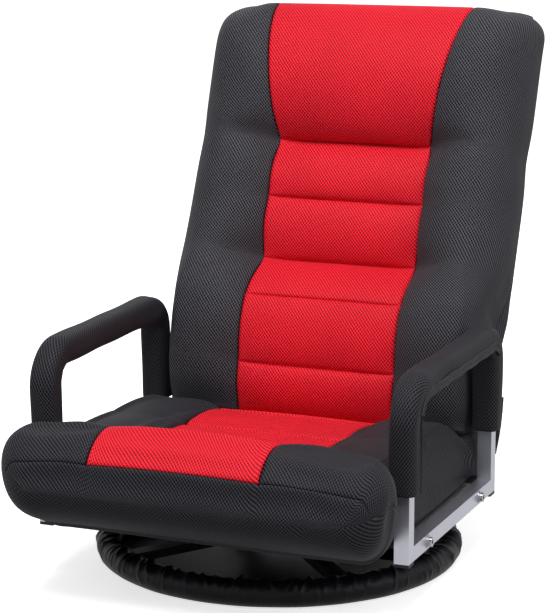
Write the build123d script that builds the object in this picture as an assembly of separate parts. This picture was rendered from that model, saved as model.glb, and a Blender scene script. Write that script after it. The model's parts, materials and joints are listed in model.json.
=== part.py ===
from build123d import *
import math
import os

# Swivel floor chair with a reclining back, in millimetres.
# The origin is the centre of the base ring on the floor, +Z is up and the chair faces -Y.
# Left is the sitter's left, which is +X.

# Fits
soft_gap = 0.3          # between a soft piece and what it lies on
foam_gap = 0.6          # between a cushion's foam and its cover
weld_gap = 0.2          # between welded pieces whose faces are curved
run_gap = 0.05          # radial, for pins and balls that turn
plate_gap = 0.3         # beside a hinge leaf that turns

# Base ring and its cover
ring_radius = 235.0     # centre line
ring_tube = 32.0        # outer diameter
ring_wall = 1.5
cover_cloth = 1.5
hem_angle = 40.0        # how far the cover's hem goes past the top of the ring, towards the middle
elastic_diameter = 2.8

# Base hub and spokes
hub_radius = 55.0
hub_wall = 4.0
hub_top = 44.4          # height of the hub's top face
hub_depth = 22.0
hub_hole = 21.0         # radius of the hole in the hub's top
spoke_count = 4
spoke_width = 22.0
spoke_height = 12.0
spoke_inner_drop = 11.4  # from the hub's top to the middle of a spoke
spoke_outer_rise = 2.0   # of a spoke's middle above the ring's centre line

# Swivel bearing
bearing_side = 160.0
bearing_plate = 3.0
bearing_space = 3.0     # between the two plates
ball_diameter = 8.0
ball_circle = 55.0      # radius of the ring of balls
ball_count = 24
cage_thickness = 1.0
cage_width = 14.0
rivet_radius = 12.0
rivet_bore = 8.0
rivet_flange = 18.0
rivet_flange_thickness = 1.5
lower_bolt_circle = 40.0
bearing_bolt = 6.0      # diameter
bearing_bolt_head = 10.0
bearing_bolt_head_height = 4.0
upper_bolt_spacing = 62.0   # from the centre, along X and along Y

# Seat frame
tube_wall = 1.5
side_tube_width = 25.0
side_tube_height = 20.0
side_tube_outer = 243.0     # X of the side tube's outer face, which sets the chair's width
side_tube_front = -205.0
side_tube_rear = 152.0
cross_tube_width = 25.0
cross_tube_height = 21.0
cross_tube_inset = 18.5     # of its ends from the side tube's outer face
front_tube_depth = 20.0
rear_tube_depth = 16.0
rear_tube_front = 100.5     # Y
webbing_thickness = 1.8
seat_strap_width = 40.0
seat_strap_count = 5
board_thickness = 4.0
board_front = -276.0        # Y
board_rear = 100.0          # Y
board_inset = 46.0          # of its sides from the side tube's outer face

# Arms
arm_tube = 20.0
arm_front = -212.0      # Y of the front leg's front face
arm_rear = 160.6        # Y of the rear leg's rear face
arm_top = 298.0         # Z of the arm rest's centre line
front_bend = 52.0       # centre line radius
rear_bend = 32.0
sleeve_foam = 7.5       # thickness on the tube
sleeve_cloth = 1.8
sleeve_corner = 12.0    # outer corner radius
sleeve_bottom = 167.0   # Z of both lower ends
closure_width = 12.0
closure_thickness = 1.4
cap_height = 4.4
cap_depth = 12.0
arm_bolt = 8.0          # diameter
arm_bolt_head = 13.0
arm_bolt_head_height = 4.6
arm_bolt_socket = 5.0
arm_washer = 17.0
arm_washer_thickness = 1.6
arm_nut = 13.0          # across flats
arm_nut_height = 6.5
arm_bolt_front = -135.0     # Y
arm_bolt_rear = 88.0        # Y

# Recline hinge
hinge_y = 168.0
hinge_z = 112.0
back_lean = 22.3        # degrees from upright, as stored
tooth_pitch = 11.25     # degrees between stops
hinge_plate = 3.0
ratchet_plate = 5.0
plate_radius = 30.5
ratchet_tip = 27.0
ratchet_root = 24.0
notch_root_share = 0.22     # half width of a notch at its root, as a share of the pitch there
notch_mouth_share = 0.42
ratchet_arm_width = 28.0
ratchet_arm_length = 110.0
pivot_radius = 6.0
pivot_head = 11.0
pivot_head_height = 2.5
plate_foot_front = 118.0    # Y
plate_foot_inset = 1.5      # of the foot from the side tube's edges
spacer_radius = 3.0
pawl_angle = 215.0      # degrees, direction from the hinge axis to the pawl's nose, from +Y towards +Z
pawl_pivot_out = 33.0   # from the hinge axis, along the nose's direction
pawl_pivot_side = 20.0  # across that direction
pawl_boss = 5.0
pawl_bore = 3.0
pawl_lift = 10.0        # degrees that the stored pawl is lifted out of its notch
pawl_nose_gap = 0.6     # between the nose and the notch's root
pawl_rivet_head = 5.0
pawl_rivet_head_height = 1.6
leaf_thickness = 0.8

# Back frame
hoop_tube = 22.0
hoop_height = 590.0     # top of the hoop above the hinge axis, along the back
hoop_bend = 85.0
hoop_start = 45.0       # lower end of the hoop above the hinge axis
hoop_wall = 1.5
back_bar_tube = 18.0
back_bar_heights = (150.0, 400.0)
back_strap_width = 45.0
back_strap_heights = (136.0, 210.0, 280.0, 340.0, 470.0)

# Cushion covers
cloth = 3.0             # spacer mesh
red_half_width = 118.0
red_top_half_width = 153.0
panel_bow = 3.0         # crown of the red panel across its width
panel_shares = (0.0, 0.06, 0.2, 0.5, 0.8, 0.94)     # where a panel between two sewn lines has its sections
crown_power = 0.5       # how full a crowned panel is: smaller is fuller

# Back cushion, measured from the hinge axis: up along the back, and forward of the hoop's plane
back_rear = -40.0       # rear face
back_bottom = 33.0      # lower end
back_height = 655.0     # top end
back_low_inset = 10.0    # of its sides behind the arms from the side tube's outer face
back_overhang = 4.5     # of its sides above the arms over the side tube's outer face
back_low_top = 218.0    # where the part beside the arms ends
low_crest_inset = 40.0  # of the bolsters' highest line beside the arms from the side tube's outer face
high_crest_inset = 47.0     # and above them
side_share = 0.2        # how far forward the sides are widest, as a share of the depth
tufts = (back_bottom, 100.0, 198.0, 262.0, 352.0, 440.0, back_height)    # heights of the sewn lines
tuft_fronts = (40.0, 70.0, 84.0, 30.0, 44.0, 29.0, 24.0)
panel_crowns = (16.0, 14.0, 12.0, 18.0, 20.0, 62.0)
bolster_fronts = (42.0, 92.0, 106.0, 78.0, 90.0, 70.0, -4.0)
bolster_crowns = (16.0, 8.0, 4.0, 8.0, 8.0, 66.0)
top_corner = 36.0       # rounding of the upper corners, seen from the front
back_base_corner = 20.0     # rounding of the rear edges
low_bulge = 0.11        # roundness of the bolsters beside the arms, as a share of their chords
high_bulge = 0.16       # and above them
waist = 6.0             # how far the sides draw in at the tuft below the head rest
top_share = 0.985       # where the head rest has its last section
crest_share = 0.35      # least place of a bolster's highest line between the red panel and the side

# Seat cushion
seat_front = -372.0
roll_top_y = -302.0
roll_top = 240.0
roll_middle = 165.0     # height of the roll's foremost line
roll_overhang = 21.0    # of the roll's ends over the side tube's outer face
roll_end_rounding = 34.0
roll_end_taper = 22.0   # how far the roll's ends draw in towards the crease
roll_base_corner = 76.0
roll_base_y = -280.0    # where the roll's underside runs out flat
roll_side_share = 0.62  # height of the roll's widest line, as a share of its height
roll_angles = (10, 24, 46, 70, 90)      # degrees round the roll's front, from its foremost line to its top
roll_shares = (0.3, 0.6, 0.85, 1.0)     # and on from its top to the crease behind it
crease_y = -227.0
crease_top = 186.0
seat_rear = 112.0
seat_rear_top = 150.0
seat_inset = 5.5        # of the seat's sides from the side tube's outer face
seat_lines = (-62.0, 59.0)
seat_line_tops = (181.0, 175.0)
seat_crowns = (8.0, 7.0, 9.0)
seat_side_rise = 20.0   # of the black sides over the red middle
roll_side_drop = 4.0    # of the roll's ends under its middle
seat_base_corner = 12.0
seat_side_share = 0.34  # height of the widest line behind the roll, as a share of the height
seat_bulge = 0.12
seat_end_drop = 10.0    # rounding of the rear end, down
seat_end_taper = 8.0    # and in at the sides
step_depth = 3.0        # along Y, where the roll's width ends and the seat's begins
seat_crest_inset = 43.0     # of the sides' highest line from the side tube's outer face
roll_crest_inset = 24.0     # and of the roll's ends' highest line
boxing_front_z = 214.0  # height of the seam round the seat at boxing_front_y
boxing_front_y = -400.0
boxing_slope = -0.19

# Places that follow from the sizes above
ring_r = ring_tube / 2
cover_inner = ring_r + soft_gap
cover_outer = cover_inner + cover_cloth
ring_z = cover_outer
lower_plate_z = hub_top
race_z = lower_plate_z + bearing_plate + bearing_space / 2
upper_plate_z = lower_plate_z + bearing_plate + bearing_space
cross_tube_z = upper_plate_z + bearing_plate
frame_z = cross_tube_z + cross_tube_height
frame_top = frame_z + side_tube_height
side_tube_inner = side_tube_outer - side_tube_width
cross_tube_end = side_tube_outer - cross_tube_inset
board_half_width = side_tube_outer - board_inset
back_low_half_width = side_tube_outer - back_low_inset
back_half_width = side_tube_outer + back_overhang
low_crest = side_tube_outer - low_crest_inset
high_crest = side_tube_outer - high_crest_inset
roll_half_width = side_tube_outer + roll_overhang
roll_crest = side_tube_outer - roll_crest_inset
seat_half_width = side_tube_outer - seat_inset
seat_crest = side_tube_outer - seat_crest_inset
seat_base = frame_top + webbing_thickness + soft_gap
arm_x = side_tube_outer + arm_tube / 2
arm_outer = side_tube_outer + arm_tube
bolt_z = frame_z + arm_tube / 2
plate_x = side_tube_inner - hinge_plate
ratchet_x = plate_x - plate_gap - ratchet_plate
inner_plate_x = ratchet_x - plate_gap - hinge_plate
hoop_x = ratchet_x + ratchet_plate / 2
back_frame = Location((0, hinge_y, hinge_z), (-back_lean, 0, 0))
mirror_plane = Plane.YZ


def block(x0, x1, y0, y1, z0, z1):
    """A box between two corners."""
    return Pos((x0 + x1) / 2, (y0 + y1) / 2, (z0 + z1) / 2) * Box(x1 - x0, y1 - y0, z1 - z0)


def rod_x(y, z, radius, x0, x1):
    """A cylinder along X."""
    return Pos((x0 + x1) / 2, y, z) * Rot(0, 90, 0) * Cylinder(radius, x1 - x0)


def rod_z(x, y, radius, z0, z1):
    """A cylinder along Z."""
    return Pos(x, y, (z0 + z1) / 2) * Cylinder(radius, z1 - z0)


def plate_yz(points, x0, x1):
    """A polygon in the YZ plane, given thickness along X."""
    outline = Polyline(*[(x0, y, z) for y, z in points], close=True)
    return extrude(make_face(outline), amount=x1 - x0, dir=(1, 0, 0))


def tube_along_x(x0, x1, y0, y1, z0, z1):
    """A rectangular tube along X."""
    wall = tube_wall
    return block(x0, x1, y0, y1, z0, z1) - block(x0, x1, y0 + wall, y1 - wall, z0 + wall, z1 - wall)


def tube_along_y(x0, x1, y0, y1, z0, z1):
    """A rectangular tube along Y."""
    wall = tube_wall
    return block(x0, x1, y0, y1, z0, z1) - block(x0 + wall, x1 - wall, y0, y1, z0 + wall, z1 - wall)


def both(shape):
    """A piece on the left and its mirror image on the right, as one group."""
    return Compound(children=[shape, mirror(shape, about=mirror_plane)])


def pair(name, shape):
    """A piece on the left and its mirror image on the right, as two nodes."""
    return {name + "_left": shape, name + "_right": mirror(shape, about=mirror_plane)}


def cross_places():
    """The four places of the bolts that hold the seat on the bearing."""
    return [(x, y) for x in (-upper_bolt_spacing, upper_bolt_spacing)
            for y in (-upper_bolt_spacing, upper_bolt_spacing)]


# Base

def torus(radius):
    """A ring on the base ring's centre line."""
    return Pos(0, 0, ring_z) * Torus(ring_radius, radius)


def base_ring():
    return torus(ring_r) - torus(ring_r - ring_wall)


def base_hub():
    shell = rod_z(0, 0, hub_radius, hub_top - hub_depth, hub_top)
    shell -= rod_z(0, 0, hub_radius - hub_wall, hub_top - hub_depth, hub_top - hub_wall)
    shell -= rod_z(0, 0, hub_hole, hub_top - hub_wall, hub_top)
    for x, y in lower_bolt_places():
        shell -= rod_z(x, y, bearing_bolt / 2 + weld_gap, hub_top - hub_wall, hub_top)
    return shell


def base_spokes():
    inner = (hub_radius - hub_wall, hub_top - spoke_inner_drop)
    outer = (ring_radius - ring_r / 2, ring_z + spoke_outer_rise)
    run = outer[0] - inner[0]
    half = spoke_height / 2
    profile = [(inner[0], inner[1] - half), (outer[0], outer[1] - half),
               (outer[0], outer[1] + half), (inner[0], inner[1] + half)]
    bar = plate_yz(profile, -spoke_width / 2, spoke_width / 2)
    bar -= torus(ring_r + weld_gap)
    bar -= rod_z(0, 0, hub_radius + weld_gap, inner[1] - run, inner[1] + run)
    turn = 360 / spoke_count
    return Compound(children=[Rot(0, 0, turn / 2 + turn * i) * bar for i in range(spoke_count)])


def on_ring(radius, degrees):
    """A point of the ring's section, turned from straight down, round the outside, over the top."""
    angle = math.radians(degrees - 90)
    return (ring_radius + radius * math.cos(angle), 0, ring_z + radius * math.sin(angle))


def base_cover():
    hem = 180 + hem_angle
    outside = [ThreePointArc(on_ring(cover_outer, 0), on_ring(cover_outer, 60), on_ring(cover_outer, 120)),
               ThreePointArc(on_ring(cover_outer, 120), on_ring(cover_outer, 170), on_ring(cover_outer, hem))]
    inside = [ThreePointArc(on_ring(cover_inner, hem), on_ring(cover_inner, 170), on_ring(cover_inner, 120)),
              ThreePointArc(on_ring(cover_inner, 120), on_ring(cover_inner, 60), on_ring(cover_inner, 0))]
    edges = [Line((0, 0, 0), on_ring(cover_outer, 0)), *outside,
             Line(on_ring(cover_outer, hem), on_ring(cover_inner, hem)), *inside,
             Line(on_ring(cover_inner, 0), (0, 0, cover_cloth)), Line((0, 0, cover_cloth), (0, 0, 0))]
    return revolve(make_face(edges), Axis.Z)


def base_cover_elastic():
    radius = elastic_diameter / 2
    reach = ring_r + soft_gap + radius
    step = math.degrees(2 * math.asin((radius + soft_gap) / (2 * reach)))
    x, y, z = on_ring(reach, 180 + hem_angle + step)
    return Pos(0, 0, z) * Torus(x, radius)


# Swivel bearing

def lower_bolt_places():
    return [(lower_bolt_circle * math.cos(math.radians(a)), lower_bolt_circle * math.sin(math.radians(a)))
            for a in (0, 90, 180, 270)]


def ball_race():
    return Pos(0, 0, race_z) * Torus(ball_circle, ball_diameter / 2 + run_gap)


def swivel_lower_plate():
    half = bearing_side / 2
    plate = block(-half, half, -half, half, lower_plate_z, lower_plate_z + bearing_plate)
    plate -= rod_z(0, 0, rivet_radius + weld_gap, lower_plate_z, lower_plate_z + bearing_plate)
    for x, y in lower_bolt_places():
        plate -= rod_z(x, y, bearing_bolt / 2 + weld_gap, lower_plate_z, lower_plate_z + bearing_plate)
    for x, y in cross_places():
        plate -= rod_z(x, y, bearing_bolt_head, lower_plate_z, lower_plate_z + bearing_plate)
    return plate - ball_race()


def swivel_upper_plate():
    half = bearing_side / 2
    plate = block(-half, half, -half, half, upper_plate_z, upper_plate_z + bearing_plate)
    plate -= rod_z(0, 0, rivet_radius + run_gap, upper_plate_z, upper_plate_z + bearing_plate)
    for x, y in cross_places():
        plate -= rod_z(x, y, bearing_bolt / 2 + weld_gap, upper_plate_z, upper_plate_z + bearing_plate)
    return plate - ball_race()


def ball_places():
    turn = math.radians(360 / ball_count)
    return [(ball_circle * math.cos(turn * i), ball_circle * math.sin(turn * i)) for i in range(ball_count)]


def swivel_balls():
    return Compound(children=[Pos(x, y, race_z) * Sphere(ball_diameter / 2) for x, y in ball_places()])


def swivel_ball_cage():
    low, high = race_z - cage_thickness / 2, race_z + cage_thickness / 2
    ring = rod_z(0, 0, ball_circle + cage_width / 2, low, high)
    ring -= rod_z(0, 0, ball_circle - cage_width / 2, low, high)
    for x, y in ball_places():
        ring -= rod_z(x, y, ball_diameter / 2 + run_gap, low, high)
    return ring


def swivel_rivet():
    top = upper_plate_z + bearing_plate + plate_gap
    body = rod_z(0, 0, rivet_radius, lower_plate_z - rivet_flange_thickness, top + rivet_flange_thickness)
    body += rod_z(0, 0, rivet_flange, lower_plate_z - rivet_flange_thickness, lower_plate_z)
    body += rod_z(0, 0, rivet_flange, top, top + rivet_flange_thickness)
    bottom = lower_plate_z - rivet_flange_thickness
    return body - rod_z(0, 0, rivet_bore, bottom, top + rivet_flange_thickness)


def swivel_lower_bolts():
    seat = hub_top - hub_wall
    bolts = []
    for x, y in lower_bolt_places():
        shank = rod_z(x, y, bearing_bolt / 2, seat, lower_plate_z + bearing_plate)
        bolts.append(shank + rod_z(x, y, bearing_bolt_head / 2, seat - bearing_bolt_head_height, seat))
    return Compound(children=bolts)


def swivel_upper_bolts():
    bolts = []
    for x, y in cross_places():
        shank = rod_z(x, y, bearing_bolt / 2, upper_plate_z, frame_z)
        bolts.append(shank + rod_z(x, y, bearing_bolt_head / 2, frame_z, frame_z + bearing_bolt_head_height))
    return Compound(children=bolts)


# Seat frame

def seat_side_tube():
    tube = tube_along_y(side_tube_inner, side_tube_outer, side_tube_front, side_tube_rear, frame_z, frame_top)
    for y in (arm_bolt_front, arm_bolt_rear):
        tube -= rod_x(y, bolt_z, arm_bolt / 2 + weld_gap, side_tube_inner, side_tube_outer)
    return tube


def seat_front_tube():
    rear = side_tube_front + front_tube_depth
    return tube_along_x(-side_tube_inner, side_tube_inner, side_tube_front, rear, frame_z, frame_top)


def seat_rear_tube():
    return tube_along_x(-side_tube_inner, side_tube_inner, rear_tube_front, rear_tube_front + rear_tube_depth,
                        frame_z, frame_top)


def seat_cross_tube(y):
    half = cross_tube_width / 2
    tube = tube_along_x(-cross_tube_end, cross_tube_end, y - half, y + half, cross_tube_z, frame_z)
    for x in (-upper_bolt_spacing, upper_bolt_spacing):
        tube -= rod_z(x, y, bearing_bolt / 2 + weld_gap, cross_tube_z, frame_z)
    return tube


def seat_webbing():
    first = side_tube_front + seat_strap_width / 2
    last = seat_rear - seat_strap_width / 2 - cloth
    step = (last - first) / (seat_strap_count - 1)
    half = seat_strap_width / 2
    straps = [block(-side_tube_outer, side_tube_outer, first + step * i - half, first + step * i + half,
                    frame_top, frame_top + webbing_thickness) for i in range(seat_strap_count)]
    return Compound(children=straps)


def seat_board(grow):
    """The board under the seat's foam, inside the cover, made larger by grow on every side."""
    low = seat_base + cloth + soft_gap
    return block(-board_half_width - grow, board_half_width + grow, board_front - grow, board_rear + grow,
                 low - grow, low + board_thickness + grow)


# Arms

def arm_path(front_end, rear_end):
    """The arm's centre line, from the front leg's lower end over the rest to the rear leg's lower end."""
    front = arm_front + arm_tube / 2
    rear = arm_rear - arm_tube / 2
    corners = [(front, front_end), (front, arm_top), (rear, arm_top), (rear, rear_end)]
    points = [(arm_x, y, z) for y, z in corners]
    return FilletPolyline(*points, radius=[front_bend, rear_bend])


def along_arm(side, corner, end):
    """A square bar with rounded corners along the arm, with both lower ends at one height."""
    path = arm_path(end, end)
    start = Plane((arm_x, arm_front + arm_tube / 2, end), x_dir=(1, 0, 0), z_dir=(0, 0, 1))
    section = RectangleRounded(side, side, corner) if corner else Rectangle(side, side)
    return sweep(start * section, path=path)


def arm_frame():
    return along_arm(arm_tube, 0, frame_z) - along_arm(arm_tube - 2 * tube_wall, 0, frame_z)


def arm_rail():
    rail = tube_along_y(side_tube_outer, arm_outer, arm_front + arm_tube, arm_rear - arm_tube,
                        frame_z, frame_z + arm_tube)
    for y in (arm_bolt_front, arm_bolt_rear):
        rail -= rod_x(y, bolt_z, arm_bolt / 2 + weld_gap, side_tube_outer, arm_outer)
    return rail


def arm_end_caps():
    half = arm_tube / 2
    plug = half - tube_wall - weld_gap
    caps = []
    for y in (arm_front + half, arm_rear - half):
        cap = block(arm_x - half, arm_x + half, y - half, y + half, frame_z - cap_height, frame_z)
        cap += block(arm_x - plug, arm_x + plug, y - plug, y + plug, frame_z, frame_z + cap_depth)
        caps.append(both(cap))
    return Compound(children=[solid for group in caps for solid in group.solids()])


def arm_sleeve_foam():
    inner = arm_tube + 2 * soft_gap
    return along_arm(arm_tube + 2 * sleeve_foam, sleeve_corner - sleeve_cloth, sleeve_bottom) - along_arm(
        inner, 0, sleeve_bottom)


def arm_sleeve_cover():
    inner = arm_tube + 2 * sleeve_foam
    cover = along_arm(inner + 2 * sleeve_cloth, sleeve_corner, sleeve_bottom)
    return cover - along_arm(inner + soft_gap, sleeve_corner - sleeve_cloth, sleeve_bottom)


def arm_closure_strip():
    """The strip that closes a sleeve, on the lower half of the arm rest's outer face."""
    face = arm_x + arm_tube / 2 + sleeve_foam + sleeve_cloth
    flat = arm_tube / 2 + sleeve_foam + sleeve_cloth - sleeve_corner
    return block(face, face + closure_thickness, arm_front + arm_tube / 2 + front_bend,
                 arm_rear - arm_tube / 2 - rear_bend, arm_top - flat, arm_top - flat + closure_width)


def at_arm_bolts(make):
    """One piece at each of the four arm bolts."""
    solids = []
    for y in (arm_bolt_front, arm_bolt_rear):
        solids.extend(both(make(y)).solids())
    return Compound(children=solids)


def arm_bolts():
    def make(y):
        seat = arm_outer + arm_washer_thickness
        nut_end = side_tube_inner - arm_nut_height
        bolt = rod_x(y, bolt_z, arm_bolt / 2, nut_end, seat)
        bolt += rod_x(y, bolt_z, arm_bolt_head / 2, seat, seat + arm_bolt_head_height)
        depth = arm_bolt_head_height / 2
        socket = Pos(seat + arm_bolt_head_height, y, bolt_z) * Rot(0, 90, 0) * extrude(
            RegularPolygon(arm_bolt_socket / 2, 6, major_radius=False), amount=-depth)
        return bolt - socket
    return at_arm_bolts(make)


def arm_washers():
    def make(y):
        disc = rod_x(y, bolt_z, arm_washer / 2, arm_outer, arm_outer + arm_washer_thickness)
        return disc - rod_x(y, bolt_z, arm_bolt / 2 + weld_gap, arm_outer, arm_outer + arm_washer_thickness)
    return at_arm_bolts(make)


def arm_nuts():
    def make(y):
        nut = Pos(side_tube_inner, y, bolt_z) * Rot(0, 90, 0) * extrude(
            RegularPolygon(arm_nut / 2, 6, major_radius=False), amount=-arm_nut_height)
        bore = arm_bolt / 2 + weld_gap
        return nut - rod_x(y, bolt_z, bore, side_tube_inner - arm_nut_height, side_tube_inner)
    return at_arm_bolts(make)


# Recline hinge

def from_hinge(out, across):
    """A point placed along the pawl nose's direction from the hinge axis, and across it."""
    angle = math.radians(pawl_angle)
    y = hinge_y + out * math.cos(angle) - across * math.sin(angle)
    z = hinge_z + out * math.sin(angle) + across * math.cos(angle)
    return (y, z)


def lifted(point):
    """A point of the engaged pawl, turned to where the stored pawl is."""
    pivot = from_hinge(pawl_pivot_out, -pawl_pivot_side)
    angle = math.radians(-pawl_lift)
    y, z = point[0] - pivot[0], point[1] - pivot[1]
    return (pivot[0] + y * math.cos(angle) - z * math.sin(angle),
            pivot[1] + y * math.sin(angle) + z * math.cos(angle))


def spring_post():
    """The spacer that backs the leaf spring."""
    out = pawl_pivot_out + pawl_boss + leaf_thickness + 2 * soft_gap + spacer_radius
    return lifted(from_hinge(out, pawl_boss + spacer_radius))


def foot_places():
    """The two spacers in the foot of a hinge: the spring's post and one more behind it."""
    return [spring_post(), (side_tube_rear - 2 * spacer_radius, bolt_z)]


def hinge_side_plate(x):
    """One of the two fixed plates of a hinge, with its foot along the side tube."""
    pivot = from_hinge(pawl_pivot_out, -pawl_pivot_side)
    low, high = frame_z + plate_foot_inset, frame_top - plate_foot_inset
    foot = [(plate_foot_front, low), (side_tube_rear, low), (side_tube_rear, high), (plate_foot_front, high)]
    web = [(plate_foot_front, low), (side_tube_rear, low), (hinge_y + plate_radius, hinge_z),
           (hinge_y, hinge_z + plate_radius), (pivot[0], pivot[1] + 2 * pawl_boss),
           (plate_foot_front, pivot[1])]
    plate = plate_yz(foot, x, x + hinge_plate) + plate_yz(web, x, x + hinge_plate)
    plate += rod_x(hinge_y, hinge_z, plate_radius, x, x + hinge_plate)
    plate -= rod_x(hinge_y, hinge_z, pivot_radius + weld_gap, x, x + hinge_plate)
    return plate - rod_x(*pivot, pawl_bore + weld_gap, x, x + hinge_plate)


def hinge_spacers():
    solids = []
    for y, z in foot_places():
        solids.extend(both(rod_x(y, z, spacer_radius, inner_plate_x + hinge_plate, plate_x)).solids())
    return Compound(children=solids)


def ratchet():
    """The toothed plate that turns with the back, with a notch at the pawl's nose."""
    points = []
    count = round(360 / tooth_pitch)
    for i in range(count):
        notch = pawl_angle + tooth_pitch * i
        for share, radius in ((-notch_mouth_share, ratchet_tip), (-notch_root_share, ratchet_root),
                              (notch_root_share, ratchet_root), (notch_mouth_share, ratchet_tip)):
            angle = math.radians(notch + share * tooth_pitch)
            points.append((hinge_y + radius * math.cos(angle), hinge_z + radius * math.sin(angle)))
    half = ratchet_arm_width / 2
    arm = block(ratchet_x, ratchet_x + ratchet_plate, -half, half, 0, ratchet_arm_length)
    plate = plate_yz(points, ratchet_x, ratchet_x + ratchet_plate) + back_frame * arm
    return plate - rod_x(hinge_y, hinge_z, pivot_radius + run_gap, ratchet_x, ratchet_x + ratchet_plate)


def pawl_span():
    """The two faces of the pawl along X."""
    return ratchet_x, ratchet_x + ratchet_plate


def pawl():
    root = ratchet_root + pawl_nose_gap
    pitch = math.radians(tooth_pitch)
    tip = pitch * ratchet_root * notch_root_share - pawl_nose_gap / 2
    mouth = pitch * ratchet_tip * notch_mouth_share - pawl_nose_gap
    shoulder = ratchet_tip + pawl_boss / 2
    outside = pawl_pivot_out + pawl_boss
    inside = pawl_pivot_out - pawl_boss
    outline = [(root, -tip), (root, tip), (ratchet_tip, mouth), (shoulder, 2 * mouth), (outside, 2 * mouth),
               (outside, -pawl_pivot_side), (inside, -pawl_pivot_side), (shoulder, -2 * mouth),
               (ratchet_tip, -mouth)]
    x0, x1 = pawl_span()
    body = plate_yz([lifted(from_hinge(*point)) for point in outline], x0, x1)
    pivot = from_hinge(pawl_pivot_out, -pawl_pivot_side)
    body += rod_x(*pivot, pawl_boss, x0, x1)
    return body - rod_x(*pivot, pawl_bore + run_gap, x0, x1)


def pawl_springs():
    """Leaf springs between their posts and the pawls' backs."""
    near = pawl_pivot_out + pawl_boss + soft_gap
    far = near + leaf_thickness
    end = pawl_boss + 2 * spacer_radius
    outline = [(near, -pawl_pivot_side / 2), (near, end), (far, end), (far, -pawl_pivot_side / 2)]
    x0, x1 = pawl_span()
    return both(plate_yz([lifted(from_hinge(*point)) for point in outline], x0, x1))


def rivet_x(y, z, radius, head, head_height):
    """A rivet through both plates of a hinge."""
    outside, inside = plate_x + hinge_plate, inner_plate_x
    shank = rod_x(y, z, radius, inside - head_height, outside + head_height)
    shank += rod_x(y, z, head, outside, outside + head_height)
    return shank + rod_x(y, z, head, inside - head_height, inside)


def hinge_pivots():
    return both(rivet_x(hinge_y, hinge_z, pivot_radius, pivot_head, pivot_head_height))


def pawl_rivets():
    pivot = from_hinge(pawl_pivot_out, -pawl_pivot_side)
    return both(rivet_x(*pivot, pawl_bore, pawl_rivet_head, pawl_rivet_head_height))


# Back frame, built upright round the hinge axis and then leaned

def hoop_bar(radius):
    """A round bar along the hoop's centre line."""
    top = hoop_height - hoop_tube / 2
    points = [(hoop_x, 0, hoop_start), (hoop_x, 0, top), (-hoop_x, 0, top), (-hoop_x, 0, hoop_start)]
    path = FilletPolyline(*points, radius=hoop_bend)
    return sweep(Plane((hoop_x, 0, hoop_start)) * Circle(radius), path=path)


def hoop_slots():
    """The slots that take the ratchet plates' arms."""
    half = hoop_tube / 2
    high = ratchet_arm_length + weld_gap
    x0, x1 = ratchet_x - weld_gap, ratchet_x + ratchet_plate + weld_gap
    return both(block(x0, x1, -half, half, hoop_start, high))


def back_hoop():
    return hoop_bar(hoop_tube / 2) - hoop_bar(hoop_tube / 2 - hoop_wall) - hoop_slots()


def back_bars(radius):
    """Round bars across the hoop."""
    end = hoop_x - hoop_tube / 2 - weld_gap
    return [Pos(0, 0, z) * Rot(0, 90, 0) * Cylinder(radius, 2 * end) for z in back_bar_heights]


def back_straps(grow):
    """Webbing straps on the front of the hoop, made larger by grow on every side."""
    front = -hoop_tube / 2
    half = back_strap_width / 2
    end = hoop_x + hoop_tube / 2
    return [block(-end - grow, end + grow, front - webbing_thickness - grow, front + grow,
                  z - half - grow, z + half + grow) for z in back_strap_heights]


def frame_room():
    """What the back's foam leaves free for the frame in it."""
    room = hoop_bar(hoop_tube / 2 + soft_gap)
    for bar in back_bars(back_bar_tube / 2 + soft_gap):
        room += bar
    return [room] + back_straps(soft_gap) + arm_room().solids()


def arm_room():
    """Room round the ratchet plates' arms, open at the back's lower end."""
    half = ratchet_arm_width / 2 + soft_gap
    return both(block(ratchet_x - soft_gap, ratchet_x + ratchet_plate + soft_gap, -half, half,
                      0, ratchet_arm_length + soft_gap))


def hoop_end_room():
    """Room round the hoop's lower ends in the cover."""
    return both(rod_z(hoop_x, 0, hoop_tube / 2 + soft_gap, 0, hoop_start + hoop_tube))


# Cushions

def bulged(a, b, share):
    """The middle of an arc from a to b, standing out to the left by a share of its chord."""
    across, up = b[0] - a[0], b[1] - a[1]
    return ((a[0] + b[0]) / 2 - up * share, (a[1] + b[1]) / 2 + across * share)


def pad_section(place, seam, crown, crest, side, base, base_corner, bulge):
    """A cushion's section: crowned middle, bolsters, drawn-in sides and a flat base.

    seam, crest and side are points (x, height) on the left half, and place puts one in space.
    """
    low = (side[0] - base_corner, base)
    half = [seam, bulged(seam, crest, bulge), crest, bulged(crest, side, bulge), side,
            bulged(side, low, bulge), low]
    left = [place(x, h) for x, h in half]
    right = [place(-x, h) for x, h in half]
    edges = [ThreePointArc(right[0], place(0, seam[1] + crown), left[0])]
    for i in (0, 2, 4):
        edges.append(ThreePointArc(left[i], left[i + 1], left[i + 2]))
    edges.append(Line(left[6], right[6]))
    for i in (6, 4, 2):
        edges.append(ThreePointArc(right[i], right[i - 1], right[i - 2]))
    return Wire(edges)


def mix(a, b, share):
    return a + (b - a) * share


def swell(share):
    """A crown between two sewn lines: nothing at both, one in the middle."""
    return math.sin(math.pi * share) ** crown_power


def between_ends(place, low, high, inset):
    """A place between two ends, moved with the ends as they draw in."""
    return mix(low + inset, high - inset, (place - low) / (high - low))


def back_sections(inset):
    """Sections up the back, drawn in by inset: one at each sewn line and some on each crowned panel."""
    places = []
    for i in range(len(panel_crowns)):
        for share in panel_shares:
            places.append((i, share))
    places.append((len(panel_crowns) - 1, top_share))
    sections = []
    for i, share in places:
        height = mix(tufts[i], tufts[i + 1], share)
        front = mix(tuft_fronts[i], tuft_fronts[i + 1], share) + panel_crowns[i] * swell(share)
        crest = mix(bolster_fronts[i], bolster_fronts[i + 1], share) + bolster_crowns[i] * swell(share)
        sections.append(back_section(height, front, crest, inset))
    return sections


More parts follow.
